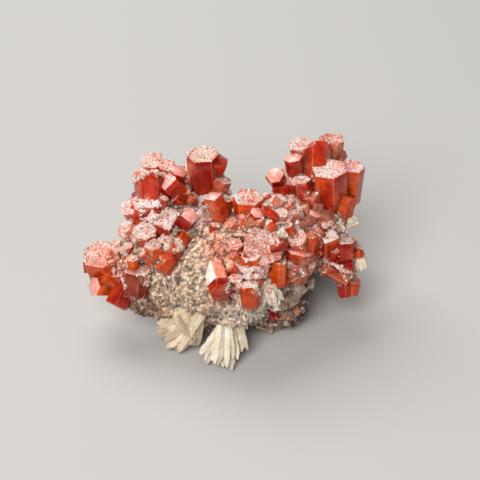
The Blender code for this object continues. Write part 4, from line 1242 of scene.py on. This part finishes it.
def surfaceSpots(host, perMm2, dice):
    # spots spread evenly over a piece, the way out at each and the face it is on
    mesh = host.data
    mesh.calc_loop_triangles()
    triangles = np.empty(len(mesh.loop_triangles) * 3, dtype=np.int32)
    mesh.loop_triangles.foreach_get("vertices", triangles)
    ofFace = np.empty(len(mesh.loop_triangles), dtype=np.int32)
    mesh.loop_triangles.foreach_get("polygon_index", ofFace)
    a, b, c = (pointsOf(host)[triangles.reshape(-1, 3)[:, i]] for i in range(3))
    across = np.cross(b - a, c - a)
    twice = np.linalg.norm(across, axis=1)
    weights = twice / 2 / mm**2 * perMm2
    count = int(weights.sum())
    chosen = dice.choice(len(weights), size=count, p=weights / weights.sum())
    u, v = dice.random((2, count))
    flip = u + v > 1
    u[flip], v[flip] = 1 - u[flip], 1 - v[flip]
    spots = a[chosen] + u[:, None] * (b - a)[chosen] + v[:, None] * (c - a)[chosen]
    return spots, across[chosen] / np.maximum(twice[chosen], 1e-18)[:, None], ofFace[chosen]


def openSpots(spots, ways, faces, levels, tree, dice):
    # the spots that carry crust and that nothing covers
    luck = dice.random(len(spots))
    if levels is not None:
        dusted, reach = crustOn(spots), np.clip(noiseAt(spots, 1.3 * mm, 31) * 2.4, 0, 1)
    free = np.ones(len(spots), dtype=bool)
    for i in range(len(spots)):
        if levels is not None and luck[i] > levels[faces[i]] and dusted[i] < 0.65 + 0.3 * luck[i]:
            far = roughTree.find_nearest(Vector(spots[i]))[3]
            low, high = grainFlow["collar"]
            if far > (low + (high - low) * reach[i]) * (0.8 + 0.4 * luck[i]):
                free[i] = False
                continue
        way = Vector(ways[i])
        hit, facing, face, far = tree.ray_cast(Vector(spots[i]) + way * 0.02 * mm, way, 60 * mm)
        if hit is not None and (far < grainFlow["covered"] or facing.dot(way) > 0):
            free[i] = False
    return free


def flowAt(spots):
    # the way that fibres run, which changes slowly from place to place
    return np.array([noise.noise_vector(Vector(spot) / grainFlow["size"]) for spot in spots])


def strewGrains(host, levels, kind, covers, seed):
    dice, tree, batches = np.random.default_rng(seed), treeOf(covers), []
    for model, perMm2, (low, high), spread, sunk, palette, top in grainLook[kind]:
        spots, ways, faces = surfaceSpots(host, perMm2, dice)
        if not len(spots):
            continue
        free = openSpots(spots, ways, faces, levels, tree, dice)
        spots, ways = spots[free], ways[free]
        count = len(spots)
        if not count:
            continue
        clump = None if kind == "blade" else crustClump
        colours = placeTones(spots, palette, dice, clump=clump, placed=not top and kind != "sugared")
        colours *= dice.uniform(0.8, 1.06, (count, 1))
        if kind in roughPaintedShadow:
            colours *= patchShade(spots) * roughPaintedShadow[kind]
        sizes = low * (high / low) ** (dice.random(count) ** 1.6) * mm
        axes = ways + dice.normal(0, spread / 2, (count, 3))
        axes /= np.linalg.norm(axes, axis=1)[:, None]
        run = flowAt(spots) * grainFlow["strength"] + dice.normal(0, 0.6, (count, 3))
        run -= axes * np.einsum("ij,ij->i", run, axes)[:, None]
        run /= np.linalg.norm(run, axis=1)[:, None]
        turns = np.stack((run, np.cross(axes, run), axes), axis=2)
        stretched = sizes[:, None] * dice.uniform(0.75, 1.25, (count, 3))
        placed = spots + ways * sizes[:, None] * (0.3 - sunk if model != "stroke" else 0.04)
        slot = 1 if top else 0
        batches.append(manyCopies(grainModels[model], placed, turns, stretched, colours, slot, top))
    if not batches:
        return None
    piece = joinCopies(host.name + "_grains", batches, [crustGrains, glass])
    finished(piece, "vanadinite" if kind in ("crust", "ridge") else "matrix")
    return piece


# Tufts of fine needles: across and up the view plane in mm, lean, how many and how long in mm.
tufts = [
    (1.6, -13.4, 150, 24, 1.8), (3.2, -13.8, 144, 34, 2.2), (4.6, -13.2, 130, 34, 2.2), (5.6, -12.2, 118, 24, 1.8),
    (-3.2, -14.4, 172, 12, 1.4), (-1.2, -14.6, 165, 14, 1.6), (6.4, -11, 110, 20, 1.6),
]
tuftLook = {"thick": 0.1 * mm, "patch": 1, "spread": 0.4, "many": 2}


def makeTufts():
    tree, dice, batches = treeOf([core, foot]), np.random.default_rng(12), []
    for across, upward, lean, count, long in tufts:
        for number in range(count * tuftLook["many"]):
            a, u = across + dice.normal(0, tuftLook["patch"]), upward + dice.normal(0, tuftLook["patch"] * 0.7)
            spot, facing, face, far = tree.ray_cast(eye, (onView(a, u, 0) - eye).normalized())
            if spot is None:
                continue
            way = np.array(axisOf(lean, 10)) + np.array(facing) * 0.25 + dice.normal(0, tuftLook["spread"], 3)
            way /= np.linalg.norm(way)
            side = np.cross(way, dice.normal(0, 1, 3))
            side /= np.linalg.norm(side)
            turn = np.stack((side, np.cross(way, side), way), axis=1)
            own = long * dice.uniform(0.5, 1) * mm
            thick = tuftLook["thick"] * dice.uniform(0.7, 1.3)
            sizes = np.array([[thick / 0.07, thick / 0.07, own / 1.8]])
            colour = tones[("white", "cream")[number % 2]] * dice.uniform(0.8, 1.0)
            middle = np.array(spot) + way * own * 0.4
            batches.append(manyCopies(grainModels["needle"], middle[None], turn[None], sizes, colour[None]))
    finished(joinCopies("fine_needles", batches, [crustGrains]), "barite")


makeTufts()
total = 0
for number, (host, levels, kind, covers) in enumerate(hosts):
    piece = strewGrains(host, levels, kind, covers, 100 + number)
    if piece:
        faces = sum(len(face.vertices) - 2 for face in piece.data.polygons)
        total += faces
        print(piece.name, faces)
print("grains strewn", total)


# The floor, the light and the camera
bpy.ops.object.select_all(action="DESELECT")
bpy.ops.mesh.primitive_plane_add(size=3, location=(0, 0, -0.02 * mm))
floor = bpy.context.object
floor.name = "floor"
floorMaterial, floorTree, floorShader = newMaterial("pale floor")
floorShader.inputs["Base Color"].default_value = (0.52, 0.515, 0.505, 1)
floorShader.inputs["Roughness"].default_value = 0.85
floor.data.materials.append(floorMaterial)

lights = {
    "window": {"place": (-0.22, 0.46, 0.6), "size": 0.5, "power": 4.6, "colour": (1.0, 0.98, 0.95), "seen": True},
    "fill": {"place": (-0.22, -0.5, 0.55), "size": 0.5, "power": 6.1, "colour": (1.0, 0.97, 0.94), "seen": False},
}
for name, light in lights.items():
    lamp = bpy.data.lights.new(name, "AREA")
    lamp.shape = "SQUARE"
    lamp.size = light["size"]
    lamp.energy = light["power"]
    lamp.color = light["colour"]
    holder = bpy.data.objects.new(name, lamp)
    holder.location = light["place"]
    holder.visible_glossy = light["seen"]
    holder.rotation_euler = (Vector(light["place"]) - photoView["middle"]).to_track_quat("Z", "Y").to_euler()
    bpy.context.scene.collection.objects.link(holder)

world = bpy.data.worlds.new("studio")
world.use_nodes = True
world.node_tree.nodes["Background"].inputs["Color"].default_value = (0.62, 0.63, 0.65, 1)
world.node_tree.nodes["Background"].inputs["Strength"].default_value = 0.22
bpy.context.scene.world = world

lens = bpy.data.cameras.new("camera")
lens.sensor_width = 36
lens.lens = 97.5
lens.clip_start = 0.01
camera = bpy.data.objects.new("camera", lens)
camera.location = eye
camera.rotation_euler = viewOut.to_track_quat("Z", "Y").to_euler()
bpy.context.scene.collection.objects.link(camera)
bpy.context.scene.camera = camera
bpy.context.scene.view_settings.view_transform = "Standard"

print("done")
